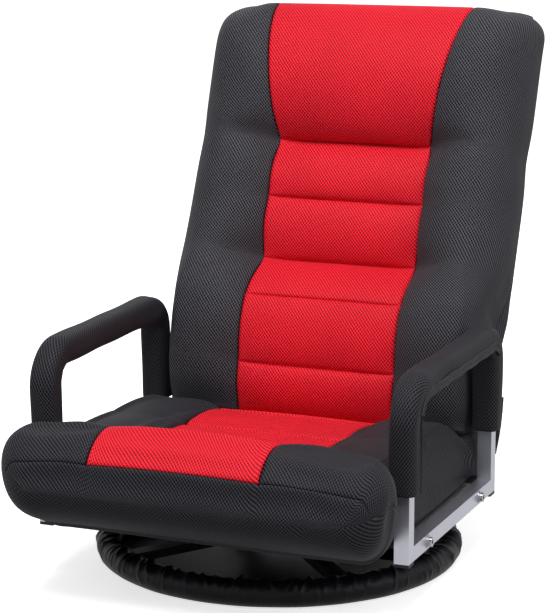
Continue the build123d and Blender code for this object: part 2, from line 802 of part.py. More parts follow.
def above_arms(height):
    """How far a height is out of the part beside the arms: none below it, one at the sewn line above."""
    return min(max((height - back_low_top) / (tufts[3] - back_low_top), 0), 1)


def back_half_width_at(height):
    """Half the back's width: narrow behind the arms, wide above them, rounded at the top."""
    width = mix(back_low_half_width, back_half_width, above_arms(height))
    width -= waist * math.exp(-((height - tufts[5]) / top_corner) ** 2)
    into_corner = max(height - (back_height - top_corner), 0) / top_corner
    return width - top_corner * (1 - math.sqrt(max(1 - into_corner ** 2, 0)))


def red_half_width_at(height):
    above = max(height - tufts[5], 0) / (tufts[6] - tufts[5])
    return mix(red_half_width, red_top_half_width, above)


def back_section(height, front, crest, inset):
    into_top = max(height - (back_height - top_corner), 0) / top_corner
    rear = back_rear + top_corner / 2 * (1 - math.sqrt(max(1 - into_top ** 2, 0)))
    half = back_half_width_at(height)
    seam_x = red_half_width_at(height)
    crest_x = max(mix(low_crest, high_crest, above_arms(height)), mix(seam_x, half, crest_share))
    side_h = mix(rear, crest, side_share)
    bulge = mix(low_bulge, high_bulge, above_arms(height))
    drawn_in = between_ends(height, back_bottom, back_height, inset)

    def place(x, h):
        return (x, -h, drawn_in)

    return pad_section(place, (seam_x, front - inset), panel_bow, (crest_x, crest - inset),
                       (half - inset, side_h), rear + inset, back_base_corner, bulge)


def back_pad(inset):
    return Solid.make_loft(back_sections(inset), ruled=True)


def back_red_region():
    """The space in front of the hoop's plane that the red panel covers."""
    far = 2 * back_half_width
    outline = [(-red_half_width, -far, 0), (red_half_width, -far, 0), (red_half_width, -far, tufts[5]),
               (red_top_half_width, -far, back_height), (-red_top_half_width, -far, back_height),
               (-red_half_width, -far, tufts[5])]
    return extrude(make_face(Polyline(*outline, close=True)), amount=far, dir=(0, 1, 0))


def back_nodes():
    shell = back_pad(0) - back_pad(cloth)
    for room in arm_room().solids() + hoop_end_room().solids():
        shell -= room
    foam = back_pad(cloth + foam_gap)
    for room in frame_room():
        foam -= room
    far = 2 * back_height
    front_half = block(-far, far, -far, 0, -far, far)
    front = shell & front_half
    red = back_red_region()
    sides = front - red
    left_half = block(0, far, -far, far, -far, far)
    straps = Compound(children=back_straps(0))
    lower_bar, upper_bar = [bar - core for bar, core in
                            zip(back_bars(back_bar_tube / 2), back_bars(back_bar_tube / 2 - hoop_wall))]
    nodes = {"back_hoop": back_hoop(), "back_lower_bar": lower_bar, "back_upper_bar": upper_bar,
             "back_webbing": straps, "back_foam": foam, "back_cover_centre": front & red,
             "back_cover_left": sides & left_half, "back_cover_right": sides - left_half,
             "back_cover_rear": shell - front_half}
    return {name: back_frame * shape for name, shape in nodes.items()}


def seat_stations():
    """Places along the seat: y, top, base, half width, and the sides' crest, rise, widest line and corner."""
    stations = []
    reach = roll_top_y - seat_front
    for degrees in roll_angles:
        turn = math.radians(degrees)
        y = seat_front + reach * (1 - math.cos(turn))
        top = roll_middle + (roll_top - roll_middle) * math.sin(turn)
        under = 1 - (y - seat_front) / (roll_base_y - seat_front)
        base = roll_middle - (roll_middle - seat_base) * math.sqrt(1 - under ** 2)
        half = roll_half_width - roll_end_rounding * (1 - math.sin(turn))
        stations.append((y, top, base, half, roll_crest, -roll_side_drop, roll_side_share, roll_base_corner))
    for share in roll_shares:
        y = mix(roll_top_y, crease_y, share)
        top = crease_top + (roll_top - crease_top) * math.cos(share * math.pi / 2)
        half = roll_half_width - roll_end_taper * share ** 2
        rise = mix(-roll_side_drop, seat_side_rise / 2, share)
        crest = mix(roll_crest, seat_crest, share)
        widest = mix(roll_side_share, seat_side_share, share)
        corner = mix(roll_base_corner, seat_base_corner, share)
        stations.append((y, top, seat_base, half, crest, rise, widest, corner))
    edges = [crease_y + step_depth, *seat_lines, seat_rear]
    tops = [crease_top, *seat_line_tops, seat_rear_top]
    for i in range(len(seat_crowns)):
        for share in panel_shares:
            y = mix(edges[i], edges[i + 1], share)
            top = mix(tops[i], tops[i + 1], share) + seat_crowns[i] * swell(share)
            rise = seat_side_rise if i < 2 else seat_side_rise * (1 - share)
            stations.append((y, top, seat_base, seat_half_width, seat_crest, rise, seat_side_share,
                             seat_base_corner))
    stations.append((seat_rear, seat_rear_top - seat_end_drop, seat_base, seat_half_width - seat_end_taper,
                     seat_crest, 0, seat_side_share, seat_base_corner))
    return stations


def seat_section(station, inset):
    y, top, base, half, crest, rise, widest, base_corner = station
    drawn_in = between_ends(y, seat_front, seat_rear, inset)
    crest_h = top + rise - inset
    side_h = mix(base, crest_h, widest)

    def place(x, h):
        return (x, drawn_in, h)

    return pad_section(place, (red_half_width, top - inset), panel_bow, (crest, crest_h),
                       (half - inset, side_h), base + inset, base_corner, seat_bulge)


def seat_pad(inset):
    return Solid.make_loft([seat_section(station, inset) for station in seat_stations()], ruled=True)


def seat_nodes():
    shell = seat_pad(0) - seat_pad(cloth)
    far = 2 * back_height
    seam_rear = boxing_front_z + boxing_slope * (far - boxing_front_y)
    seam_front = boxing_front_z + boxing_slope * (-far - boxing_front_y)
    above = plate_yz([(-far, seam_front), (far, seam_rear), (far, far), (-far, far)], -far, far)
    top = shell & above
    red = block(-red_half_width, red_half_width, -far, far, -far, far)
    sides = top - red
    left_half = block(0, far, -far, far, -far, far)
    foam = seat_pad(cloth + foam_gap) - seat_board(soft_gap)
    return {"seat_foam": foam, "seat_cover_centre": top & red,
            "seat_cover_left": sides & left_half, "seat_cover_right": sides - left_half,
            "seat_cover_boxing": shell - above}


def all_nodes():
    nodes = {"base_ring": base_ring(), "base_hub": base_hub(), "base_spokes": base_spokes(),
             "base_cover": base_cover(), "base_cover_elastic": base_cover_elastic(),
             "swivel_lower_plate": swivel_lower_plate(), "swivel_upper_plate": swivel_upper_plate(),
             "swivel_balls": swivel_balls(), "swivel_ball_cage": swivel_ball_cage(),
             "swivel_rivet": swivel_rivet(), "swivel_lower_bolts": swivel_lower_bolts(),
             "swivel_upper_bolts": swivel_upper_bolts(),
             "seat_front_tube": seat_front_tube(), "seat_rear_tube": seat_rear_tube(),
             "seat_front_cross_tube": seat_cross_tube(-upper_bolt_spacing),
             "seat_rear_cross_tube": seat_cross_tube(upper_bolt_spacing),
             "seat_webbing": seat_webbing(), "seat_board": seat_board(0),
             "arm_end_caps": arm_end_caps(), "arm_bolts": arm_bolts(), "arm_washers": arm_washers(),
             "arm_nuts": arm_nuts(), "hinge_spacers": hinge_spacers(), "hinge_pivots": hinge_pivots(),
             "pawl_rivets": pawl_rivets(), "pawl_springs": pawl_springs()}
    nodes.update(pair("seat_side_tube", seat_side_tube()))
    nodes.update(pair("arm_frame", arm_frame()))
    nodes.update(pair("arm_rail", arm_rail()))
    nodes.update(pair("arm_sleeve_foam", arm_sleeve_foam()))
    nodes.update(pair("arm_sleeve_cover", arm_sleeve_cover()))
    nodes.update(pair("arm_closure_strip", arm_closure_strip()))
    nodes.update(pair("hinge_outer_plate", hinge_side_plate(plate_x)))
    nodes.update(pair("hinge_inner_plate", hinge_side_plate(inner_plate_x)))
    nodes.update(pair("ratchet", ratchet()))
    nodes.update(pair("pawl", pawl()))
    nodes.update(seat_nodes())
    nodes.update(back_nodes())
    return nodes


os.makedirs("parts", exist_ok=True)
for node_name, node_shape in all_nodes().items():
    export_step(node_shape, f"parts/{node_name}.step")
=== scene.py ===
import json
import math

import bpy
import numpy as np
from mathutils import Matrix, Vector


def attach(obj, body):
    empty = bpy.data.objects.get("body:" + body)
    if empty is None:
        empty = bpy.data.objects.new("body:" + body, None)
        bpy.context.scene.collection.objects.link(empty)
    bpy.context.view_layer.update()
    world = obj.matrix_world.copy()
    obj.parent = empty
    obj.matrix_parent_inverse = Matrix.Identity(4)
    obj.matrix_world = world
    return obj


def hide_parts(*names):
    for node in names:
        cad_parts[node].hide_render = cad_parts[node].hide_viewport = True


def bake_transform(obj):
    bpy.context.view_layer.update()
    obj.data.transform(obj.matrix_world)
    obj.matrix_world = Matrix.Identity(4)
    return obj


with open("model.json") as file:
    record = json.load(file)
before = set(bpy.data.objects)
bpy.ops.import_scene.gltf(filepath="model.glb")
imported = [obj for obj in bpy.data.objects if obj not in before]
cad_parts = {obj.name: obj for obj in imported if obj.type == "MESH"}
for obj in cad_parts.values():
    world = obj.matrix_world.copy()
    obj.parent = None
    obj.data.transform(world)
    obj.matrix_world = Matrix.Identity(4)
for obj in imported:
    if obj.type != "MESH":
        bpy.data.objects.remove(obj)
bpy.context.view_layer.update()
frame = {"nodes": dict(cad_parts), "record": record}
scene = bpy.context.scene

# Looks of a swivel floor chair, in metres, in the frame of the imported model.
# +X is the sitter's left, the chair faces -Y, and the floor is at Z = 0.

# Camera, found from the photograph
camera_place = (1.24374, -3.09970, 1.05473)
camera_right = (0.92808, 0.37239, 0.0)
camera_up = (-0.07690, 0.19166, 0.97844)
camera_back = (0.36436, -0.90807, 0.20651)
camera_lens = 146.66
camera_sensor = 36.0
camera_shift = -0.0065
camera_reach = 100

# Recline hinge
hinge_y = 0.168
hinge_z = 0.112
back_lean = math.radians(22.3)

# Back cushion: heights along the back from the hinge axis, depths forward of the frame's plane
back_bottom = 0.033
back_height = 0.655
back_rear = -0.040
back_low_half = 0.2335
back_half = 0.2485
back_flare = 0.011          # how far the rear edge stands out behind the arms
back_low_top = 0.185
arm_flare = 0.006           # and how much more at the height of the arm rests
arm_flare_reach = 0.035
flare_depth = 0.011
low_crest = 0.205
high_crest = 0.192
low_power = 2.8             # squareness of the bolsters' outer sides beside the arms: 2 is an ellipse
high_power = 2.05           # and above them
back_side_share = 0.2
back_base_corner = 0.020
tufts = (back_bottom, 0.100, 0.198, 0.262, 0.352, 0.440, back_height)
tuft_fronts = (0.040, 0.070, 0.084, 0.030, 0.044, 0.029, 0.024)
panel_crowns = (0.016, 0.014, 0.012, 0.018, 0.020, 0.062)
panel_rows = (10, 13, 10, 13, 13, 26)
arms_tuft = 3               # the tuft above the arm rests
head_tuft = 5               # the tuft below the head roll
# Heights and depths of the bolsters' crest
bolster_line = ((0.027, 0.046), (0.060, 0.080), (0.100, 0.100), (0.150, 0.112), (0.200, 0.115),
                (0.240, 0.107), (0.275, 0.096), (0.330, 0.091), (0.440, 0.087), (0.500, 0.087),
                (0.560, 0.093), (0.592, 0.094), (0.612, 0.083), (0.628, 0.064), (0.642, 0.040),
                (back_height, 0.012))
# How full the section is on the end rows, and their offsets up the back
foot_rows = ((0.0, -0.006), (0.55, -0.006), (0.88, -0.004))
head_rows = ((0.94, 0.0), (0.8, 0.002), (0.55, 0.0035), (0.28, 0.0045), (0.0, 0.005))
head_share = 0.988
end_narrowing = 0.985
# The tufts whose ends pull the bolsters in, and how deep
valleys = ((arms_tuft, 0.007), (head_tuft, 0.008))
valley_width = 0.016
valley_columns = 13
valley_power = 0.6
crest_softness = 0.012
seam_softness = 0.016
top_start = 0.60            # from here up the softening of crest and seam fades out
top_corner = 0.034
waist = 0.003
top_tilt = 0.012            # how far the top end rises towards the left, per width
back_bulge = 0.12
crest_share = 0.35
back_groove = 0.0035        # how far seams and sewn lines are drawn in

# Closing flap of the back cover
flap_half = 0.2490
flap_low_half = 0.2465
flap_side_bulge = 0.002
flap_top = 0.100
flap_bottom = 0.018
flap_gap = 0.0008
flap_stand = 0.005          # how far its lower edge stands off
flap_power = 1.5
flap_wave = 0.0007
flap_waves = ((41, 0.6, 1.0), (97, 0.0, 0.6))   # rates, phases and shares
flap_rows = 19
flap_columns = 81
flap_thickness = 0.0012

# Seat cushion
seat_base = 0.0965
seat_front = -0.372
roll_top_y = -0.302
roll_top = 0.240
roll_middle = 0.165
roll_half = 0.267
roll_shift = 0.0075         # how far the roll lies towards the left
left_end_radius = 0.044
right_end_radius = 0.058
roll_end_taper = 0.022
roll_base_corner = 0.078
left_corner_share = 0.55    # the roll is fuller below at its left end
roll_base_y = -0.245
roll_side_share = 0.60
roll_side_drop = 0.006
drop_fade = 20              # degrees round the roll over which that comes in
crease_y = -0.227
crease_top = 0.186
crest_fade = 0.03
seat_rear = 0.112
seat_rear_top = 0.150
seat_rear_ears = 0.014      # how far the seat's sides reach back beside the hinge
seat_end_rows = ((0.0, 0.004), (0.5, 0.0035), (0.85, 0.002))    # how full, and how far behind the rear
seat_end_drop = 0.006
seat_end_narrowing = 0.008
seat_half = 0.2415
seat_lines = (-0.062, 0.059)
seat_line_tops = (0.181, 0.175)
seat_crowns = (0.008, 0.007, 0.009)
seat_panel_rows = (22, 18, 8)
seat_side_rise = 0.016
crease_rise_share = 0.5     # share of that rise at the crease, and how fast it comes back behind it
crease_rise_rate = 3
crease_taper_rate = 12      # how fast the roll's end width goes over to the seat's
seat_base_corner = 0.010
seat_side_share = 0.34
seat_softness = 0.035
seat_bulge = 0.12
roll_bulge = 0.03
under_power = 1.95
under_lift = 0.0032         # how much higher the roll's underside is on its right half
under_lift_reach = 0.050
under_lift_end = 0.110
end_keep = 0.045            # stretch at its right end without that, which hides the foot of the arm
end_fade = 0.045
seat_crest = 0.200
roll_crest = 0.222
least_bolster = 0.03        # how far the crest keeps from the red panel
seat_power = 2.2
roll_power = 2.6
roll_flat = 0.190           # how far out the roll's front runs straight
end_bow = 0.010             # how far its ends lie back from there
crease_shift = 0.008        # how far the red panel lies towards the left at the crease
front_shift = -0.0015       # and at the front
seam_angle = 33.0           # degrees round the roll, where the front boxing is sewn on
roll_angles = (90, 83, 76, 69, 62, 55, 49, 43.5, 39, 36, 34.2, seam_angle, 31.5, 29, 25, 20, 15, 10, 6, 3, 0)
roll_rear_rows = 14
roll_ease = 0.3
seat_groove = 0.003
front_groove = 0.0012
front_seam_end = 3          # columns at its ends that the front seam leaves out

# Red panel
red_half = 0.118
red_top_half = 0.153
panel_bow = 0.003
crown_power = 5

# Columns across half a cushion: red panel, bolster's inner face, bolster's outer face, and the base
red_columns = 16
inner_columns = 10
outer_columns = 14
corner_columns = 8
half_columns = red_columns + inner_columns + outer_columns
centre = half_columns
seam_columns = (centre - red_columns, centre + red_columns)

# How much closer together rows and columns lie at seams and sewn lines: one is no step there at all
row_ease = 0.78
red_ease = 0.7
inner_ease = 0.7
section_rounds = 12
section_steps = (0.5, -0.52)    # smoothing in and out again, which keeps the size

# Cloth simulation of the cushions
cloth_settings = {"quality": 6, "mass": 0.25, "tension_stiffness": 12, "compression_stiffness": 12,
                  "shear_stiffness": 6, "bending_stiffness": 0.8, "air_damping": 4, "use_pressure": True,
                  "uniform_pressure_force": 4.0, "vertex_group_mass": "pin"}
cloth_frames = 20
cloth_spacing = 0.007
cloth_rounds = 60
cloth_cap = 0.005
cover_thickness = 0.0025
seam_crease = 0.75          # how sharply the panels meet at their seams

# Arms
arm_x = 0.2530
arm_front = -0.202
arm_rear = 0.1506
arm_top = 0.298
front_bend = 0.044
rear_bend = 0.032
path_rows = (22, 22, 52, 16, 20)    # along the front leg, its bend, the arm rest, its bend, the rear leg
sleeve_half = 0.0193
sleeve_bottom = 0.167
sleeve_power = 3.4          # squareness of the sleeve's section
sleeve_columns = 40
sleeve_lean = 0.0035        # how far the right sleeve sits out and up on its tube
sleeve_seeds = {"left": 7, "right": 11}
slack_rates = (25, 70)      # waves of the sleeve's slack cloth along it, and a ripple inside its bends
slack_heights = (0.0002, 0.0004)
slack_waves = 5
slack_share = 0.8
bend_wave = 0.0008
bend_wave_rate = 300
sleeve_lips = ((0.60, 0.007), (0.80, 0.002), (0.93, 0.0))   # sections at its ends, and how far they turn in
lip_drop = 0.0045
lip_run = 0.002
thread_run = 0.0036         # length of cloth from column to column

# Base cover
ring_radius = 0.235
ring_z = 0.0178
cover_radius = 0.0190
cover_gap = 0.0004
cover_floor = 0.0003
cover_sheet = 0.0006
cover_turns = 1200
cover_rows = 32
cover_seed = 5
disc_radii = (0.06, 0.12, 0.17, 0.20, 0.22)
hem_angle = 220.0
# Height, width, lean and start of a gather, in shares, radians and degrees, each drawn between two limits
gather_limits = ((0.35, 1.25), (0.007, 0.013), (-0.12, 0.12), (45, 115))
gather_steps = (0.020, 0.075)
gather_height = 0.0026
gather_rise = 3
gather_lean_power = 1.5
gather_power = 1.2
cover_wave = 0.0005
cover_wave_start = 60
cover_waves = (5, 9, 14, 23)
cover_wave_limits = (0.2, 0.5)

# Phases of waves that are drawn by chance
phase_limits = (0, 6.28)


def mix(a, b, share):
    return a + (b - a) * share


def way(value, start, end):
    """How far a value is on its way from start to end, from none to one."""
    return np.clip((value - start) / (end - start), 0, 1)


def eased(share):
    return share * share * (3 - 2 * share)


def waves(values, shapes):
    """A sum of sines with their rates, phases and heights."""
    return sum(height * np.sin(values * rate + phase) for rate, phase, height in shapes)


def ripples(rng, angles, counts, limits):
    """Waves round a ring, with heights and phases by chance."""
    return sum(rng.uniform(*limits) * np.sin(angles * count + rng.uniform(*phase_limits)) for count in counts)


def running_length(line):
    """Lengths along a line of points."""
    return np.concatenate([[0], np.cumsum(np.linalg.norm(np.diff(line, axis=0), axis=1))])


# Materials

mesh_pitch = 0.0034         # between the holes of the knitted mesh
mesh_squeeze = 0.82
mesh_turn = math.radians(45)
mesh_sheen = 0.01
mesh_bump = (0.5, 0.0008)   # strength and distance
mesh_stops = (0.27, 0.42, 0.60)     # for hole, shade and thread
mesh_tones = ((0.9, 0.9, 0.9), (1.06, 1.06, 1.06))
tone_stops = (0.3, 0.7)
cloth_stops = (0.35, 0.7)
wood_stops = (0.2, 0.8)
wood_tones = ((0.36, 0.22, 0.11), (0.55, 0.37, 0.2))
wear = (0.8, 1.25)          # least and most of a metal's roughness, as shares
rib_share = 0.22
rib_scale = math.pi / 10    # one rib per hole
thread_bump = 0.0003        # distances of bumps whose strength comes with the material
grain_bump = 0.0004
crumple_bump = (0.25, 0.0015)
crease_slant = 3.0          # how much the base cover's fine creases stray, per height
crease_scale = 44.0
crease_bump = (0.5, 0.0024)


def new_material(name):
    material = bpy.data.materials.new(name)
    material.use_nodes = True
    return material, material.node_tree, material.node_tree.nodes["Principled BSDF"]


def feed(tree, node, inputs):
    """Sets a node's inputs, by name or number, to values or to other nodes' outputs."""
    for key, value in inputs.items():
        if isinstance(value, bpy.types.NodeSocket):
            tree.links.new(value, node.inputs[key])
        else:
            node.inputs[key].default_value = value


def add(tree, kind, output, inputs, **settings):
    """A node with its settings and inputs, as that output of it which is used."""
    node = tree.nodes.new("ShaderNode" + kind)
    for key, value in settings.items():
        setattr(node, key, value)
    feed(tree, node, inputs)
    return node.outputs[output]


def ramp(tree, source, stops, colours):
    """Colours on a value, given at some stops of it."""
    node = tree.nodes.new("ShaderNodeValToRGB")
    elements = node.color_ramp.elements
    while len(elements) < len(stops):
        elements.new(0.5)
    for element, stop, colour in zip(elements, stops, colours):
        element.position = stop
        element.color = (*colour, 1)
    feed(tree, node, {"Fac": source})
    return node.outputs["Color"]


def bump(tree, height, strength, distance, normal=None):
    """A normal that follows a height, on top of another normal where one is given."""
    inputs = {"Height": height, "Strength": strength, "Distance": distance}
    if normal is not None:
        inputs["Normal"] = normal
    return add(tree, "Bump", "Normal", inputs)


def spacer_mesh(name, thread, shade, hole, gloss):
    """Knitted spacer mesh: staggered holes between diagonal threads, on the piece's own cloth coordinates."""
    material, tree, shader = new_material(name)
    cloth = add(tree, "UVMap", "UV", {})
    turned = add(tree, "Mapping", "Vector", {"Vector": cloth, "Rotation": (0, 0, mesh_turn),
                                             "Scale": (1 / mesh_pitch, mesh_squeeze / mesh_pitch, 1)})
    cells = add(tree, "TexVoronoi", "Distance", {"Vector": turned, "Scale": 1.0, "Randomness": 0.05},
                voronoi_dimensions="2D")
    ribs = add(tree, "TexWave", "Fac", {"Vector": turned, "Scale": rib_scale},
               wave_type="BANDS", bands_direction="Y")
    rise = add(tree, "Math", "Value", {0: ribs, 1: rib_share, 2: cells}, operation="MULTIPLY_ADD")
    weave = ramp(tree, rise, mesh_stops, (hole, shade, thread))
    broad = add(tree, "TexNoise", "Fac", {"Vector": cloth, "Scale": 9.0, "Detail": 3.0})
    tone = ramp(tree, broad, tone_stops, mesh_tones)
    colour = add(tree, "Mix", 2, {0: 1.0, 6: weave, 7: tone}, data_type="RGBA", blend_type="MULTIPLY")
    feed(tree, shader, {"Base Color": colour, "Normal": bump(tree, rise, *mesh_bump), "Roughness": 0.6,
                        "Specular IOR Level": gloss, "Sheen Weight": mesh_sheen, "Sheen Roughness": 0.45})
    return material


def woven_cloth(name, dark, light, scale, roughness, sheen, strength, gloss=0.5):
    """Plain fine cloth with crossing threads."""
    material, tree, shader = new_material(name)
    place = add(tree, "TexCoord", "Object", {})
    thread = {"Vector": place, "Scale": scale, "Distortion": 0.6, "Detail": 1.0}
    weft, warp = (add(tree, "TexWave", "Fac", thread, wave_type="BANDS", bands_direction=axis)
                  for axis in ("X", "Y"))
    cross = add(tree, "Math", "Value", {0: weft, 1: warp}, operation="MAXIMUM")
    noise = add(tree, "TexNoise", "Fac", {"Vector": place, "Scale": 35.0, "Detail": 4.0})
    weave = bump(tree, cross, strength, thread_bump)
    feed(tree, shader, {"Base Color": ramp(tree, noise, cloth_stops, (dark, light)),
                        "Normal": bump(tree, noise, *crumple_bump, weave), "Roughness": roughness,
                        "Specular IOR Level": gloss, "Sheen Weight": sheen})
    return material


def add_gathers(material):
    """Fine creases across the base ring, which run out towards the flat disc below it."""
    tree = material.node_tree
    shader = tree.nodes["Principled BSDF"]
    place = add(tree, "TexCoord", "Object", {})
    level = add(tree, "VectorMath", "Vector", {0: place, 1: (1, 1, 0)}, operation="MULTIPLY")
    round_ring = add(tree, "VectorMath", "Vector", {0: level}, operation="NORMALIZE")
    slanted = add(tree, "VectorMath", "Vector", {0: place, 1: (0, 0, crease_slant), 2: round_ring},
                  operation="MULTIPLY_ADD")
    noise = add(tree, "TexNoise", "Fac", {"Vector": slanted, "Scale": crease_scale, "Detail": 0.5})
    up = add(tree, "SeparateXYZ", "Z", {"Vector": place})
    up_ring = add(tree, "MapRange", "Result", {"Value": up, "From Min": ring_z - cover_radius / 2,
                                               "From Max": ring_z + cover_radius / 4})
    height = add(tree, "Math", "Value", {0: noise, 1: up_ring}, operation="MULTIPLY")
    cloth = shader.inputs["Normal"].links[0].from_socket
    feed(tree, shader, {"Normal": bump(tree, height, *crease_bump, cloth)})


def coated_metal(name, low, high, metallic, roughness, grain, strength, shine=0.5):
    """Painted, plated or plain metal, or plastic, with a fine grain and some wear in its gloss."""
    material, tree, shader = new_material(name)
    place = add(tree, "TexCoord", "Object", {})
    fine = add(tree, "TexNoise", "Fac", {"Vector": place, "Scale": grain, "Detail": 3.0})
    broad = add(tree, "TexNoise", "Fac", {"Vector": place, "Scale": 18.0, "Detail": 4.0})
    gloss = add(tree, "MapRange", "Result", {"Value": broad, "To Min": roughness * wear[0],
                                             "To Max": roughness * wear[1]})
    feed(tree, shader, {"Base Color": ramp(tree, broad, tone_stops, (low, high)), "Roughness": gloss,
                        "Normal": bump(tree, fine, strength, grain_bump), "Metallic": metallic,
                        "Specular IOR Level": shine})
    return material


def wood_board(name):
    material, tree, shader = new_material(name)
    place = add(tree, "TexCoord", "Object", {})
    rings = add(tree, "TexWave", "Fac", {"Vector": place, "Scale": 14.0, "Distortion": 5.0, "Detail": 3.0},
                wave_type="BANDS", bands_direction="X")
    feed(tree, shader, {"Base Color": ramp(tree, rings, wood_stops, wood_tones), "Roughness": 0.6})
    return material


mesh_hole = (0.000, 0.000, 0.001)
red_mesh = spacer_mesh("red_mesh", (0.92, 0.024, 0.046), (0.56, 0.002, 0.010), (0.20, 0.000, 0.003), 0.12)
black_mesh = spacer_mesh("black_mesh", (0.075, 0.074, 0.085), (0.017, 0.017, 0.021), mesh_hole, 0.08)
# A darker copy of the black mesh for the seat, the arm sleeves and the joint cover: the darkening is painted
# shade on these lower, less lit parts
shaded_black_mesh = spacer_mesh("shaded_black_mesh", (0.040, 0.040, 0.047), (0.0095, 0.0095, 0.0125), mesh_hole, 0.08)
black_cloth = woven_cloth("black_cloth", (0.010, 0.010, 0.012), (0.022, 0.022, 0.026),
                          900.0, 0.6, 0.05, 0.3, 0.2)
satin_cloth = woven_cloth("satin_cloth", (0.003, 0.003, 0.0045), (0.008, 0.008, 0.011),
                          1100.0, 0.40, 0.0, 0.15, 0.13)
add_gathers(satin_cloth)
binding = woven_cloth("black_binding", (0.013, 0.013, 0.016), (0.030, 0.030, 0.036),
                      700.0, 0.7, 0.05, 0.5, 0.15)
webbing = woven_cloth("webbing", (0.02, 0.02, 0.02), (0.05, 0.05, 0.05), 350.0, 0.8, 0.1, 0.5)
by_slot = {"red_mesh": red_mesh, "black_mesh": black_mesh, "black_cloth": black_cloth,
           "black_binding": binding, "webbing": webbing, "foam": webbing, "board": wood_board("board")}
for slot_name, *finish in (
        ("silver_paint", (0.50, 0.50, 0.57), (0.56, 0.56, 0.63), 0.85, 0.30, 900.0, 0.12),
        ("black_paint", (0.010, 0.010, 0.011), (0.020, 0.020, 0.022), 0.0, 0.35, 700.0, 0.10, 0.25),
        ("bright_zinc", (0.36, 0.36, 0.39), (0.50, 0.50, 0.53), 1.0, 0.22, 1200.0, 0.05),
        ("plain_steel", (0.36, 0.36, 0.37), (0.48, 0.48, 0.49), 1.0, 0.38, 1500.0, 0.10),
        ("black_plastic", (0.012, 0.012, 0.013), (0.022, 0.022, 0.024), 0.0, 0.5, 1100.0, 0.15, 0.25)):
    by_slot[slot_name] = coated_metal(slot_name, *finish)

for row in frame["record"]["subparts"]:
    materials = frame["nodes"][row["node"]].data.materials
    materials.clear()
    materials.append(by_slot[row["material_slot"]])


# Meshes on grids

def mesh_object(name, points, faces, material, uv=None):
    """A smooth mesh, with cloth coordinates given for each point or for each corner of each face."""
    mesh = bpy.data.meshes.new(name)
    mesh.from_pydata([tuple(p) for p in points], [], [tuple(f) for f in faces])
    if uv is not None:
        layer = mesh.uv_layers.new(name="cloth")
        corners = [uv[i] for face in faces for i in face] if len(uv) == len(points) else uv
        layer.data.foreach_set("uv", np.array(corners, dtype=float).ravel())
    mesh.polygons.foreach_set("use_smooth", [True] * len(mesh.polygons))
    if material is not None:
        mesh.materials.append(material)
    piece = bpy.data.objects.new(name, mesh)
    scene.collection.objects.link(piece)
    return piece


def grid_faces(rows, columns, closed):
    """Faces between the points of a grid, whose rows may be closed rings."""
    faces = []
    for r in range(rows - 1):
        for c in range(columns if closed else columns - 1):
            d = (c + 1) % columns
            faces.append((r * columns + c, r * columns + d, (r + 1) * columns + d, (r + 1) * columns + c))
    return faces


def flipped(faces):
    return [face[::-1] for face in faces]


def picked(faces):
    """The points that some faces use, and the faces numbered by them."""
    used = sorted({i for face in faces for i in face})
    place = {old: new for new, old in enumerate(used)}
    return used, [[place[i] for i in face] for face in faces]


def grid_cloth(across, along):
    """Cloth coordinates of a grid's points from its columns' and its rows' lengths."""
    return np.stack(np.broadcast_arrays(across[None, :], along[:, None]), -1).reshape(-1, 2)


def tube_grid(rings):
    """Points, faces and cloth coordinates of a tube through closed rings of points."""
    rings = np.array(rings)
    steps = np.linalg.norm(np.diff(rings, axis=0), axis=2).mean(1)
    uv = grid_cloth(running_length(rings[len(rings) // 2]), np.concatenate([[0], np.cumsum(steps)]))
    return rings.reshape(-1, 3), grid_faces(*rings.shape[:2], True), uv


def thicken(piece, thickness, offset, crease=0.0):
    solid = piece.modifiers.new("cloth", "SOLIDIFY")
    solid.thickness = thickness
    solid.offset = offset
    solid.edge_crease_outer = crease


def refine(piece):
    smooth = piece.modifiers.new("smooth", "SUBSURF")
    smooth.levels = smooth.render_levels = 1
    return smooth


# Cushions

def arc(a, b, share, steps, ease):
    """Points from a to b, closer together at a, on a bow to the left that is a share of its chord high."""
    t = np.linspace(0, 1, steps + 1)[1:]
    t = t - ease * np.sin(np.pi * t) / np.pi
    a, b = np.array(a), np.array(b)
    out = np.array((-(b - a)[1], (b - a)[0]))
    return a + np.outer(t, b - a) + np.outer(4 * share * t * (1 - t), out)


def shoulder(crest, side, power, steps):
    """Points from a cushion's crest round to its widest line, squarer as the power grows."""
    turn = np.linspace(0, math.pi / 2, steps + 1)[1:]
    x = crest[0] + (side[0] - crest[0]) * np.sin(turn) ** (2 / power)
    return np.stack([x, side[1] + (crest[1] - side[1]) * np.maximum(np.cos(turn), 0) ** (2 / power)], 1)


def half_section(seam, front, crest, side, under, bulge, power):
    """Half a cushion's section, from the middle to the widest line, and from there under to the middle.

    front is the red panel's height in its middle; its crown fades out at the seam.
    under is the line from the widest line, without its point there, to the flat base.
    """
    t = np.linspace(0, 1, red_columns + 1)
    t = t + red_ease * np.sin(np.pi * t) / np.pi
    crown = (front - seam[1]) * (1 - t ** crown_power) + panel_bow * (1 - t ** 2)
    red = np.stack([seam[0] * t, seam[1] + crown], 1)
    inner = arc(seam, crest, bulge, inner_columns, inner_ease)
    upper = np.concatenate([red, inner, shoulder(crest, side, power, outer_columns)])
    flat = arc(under[-1], (0.0, under[-1][1]), 0, half_columns - corner_columns, 0)
    lower = np.concatenate([[side], under, flat])[::-1]
    return upper, lower


def full_row(left, right):
    """A whole row from the right edge to the left edge, from two halves. The right one is mirrored."""
    mirrored = right[:0:-1].copy()
    mirrored[:, 0] *= -1
    return np.concatenate([mirrored, left])


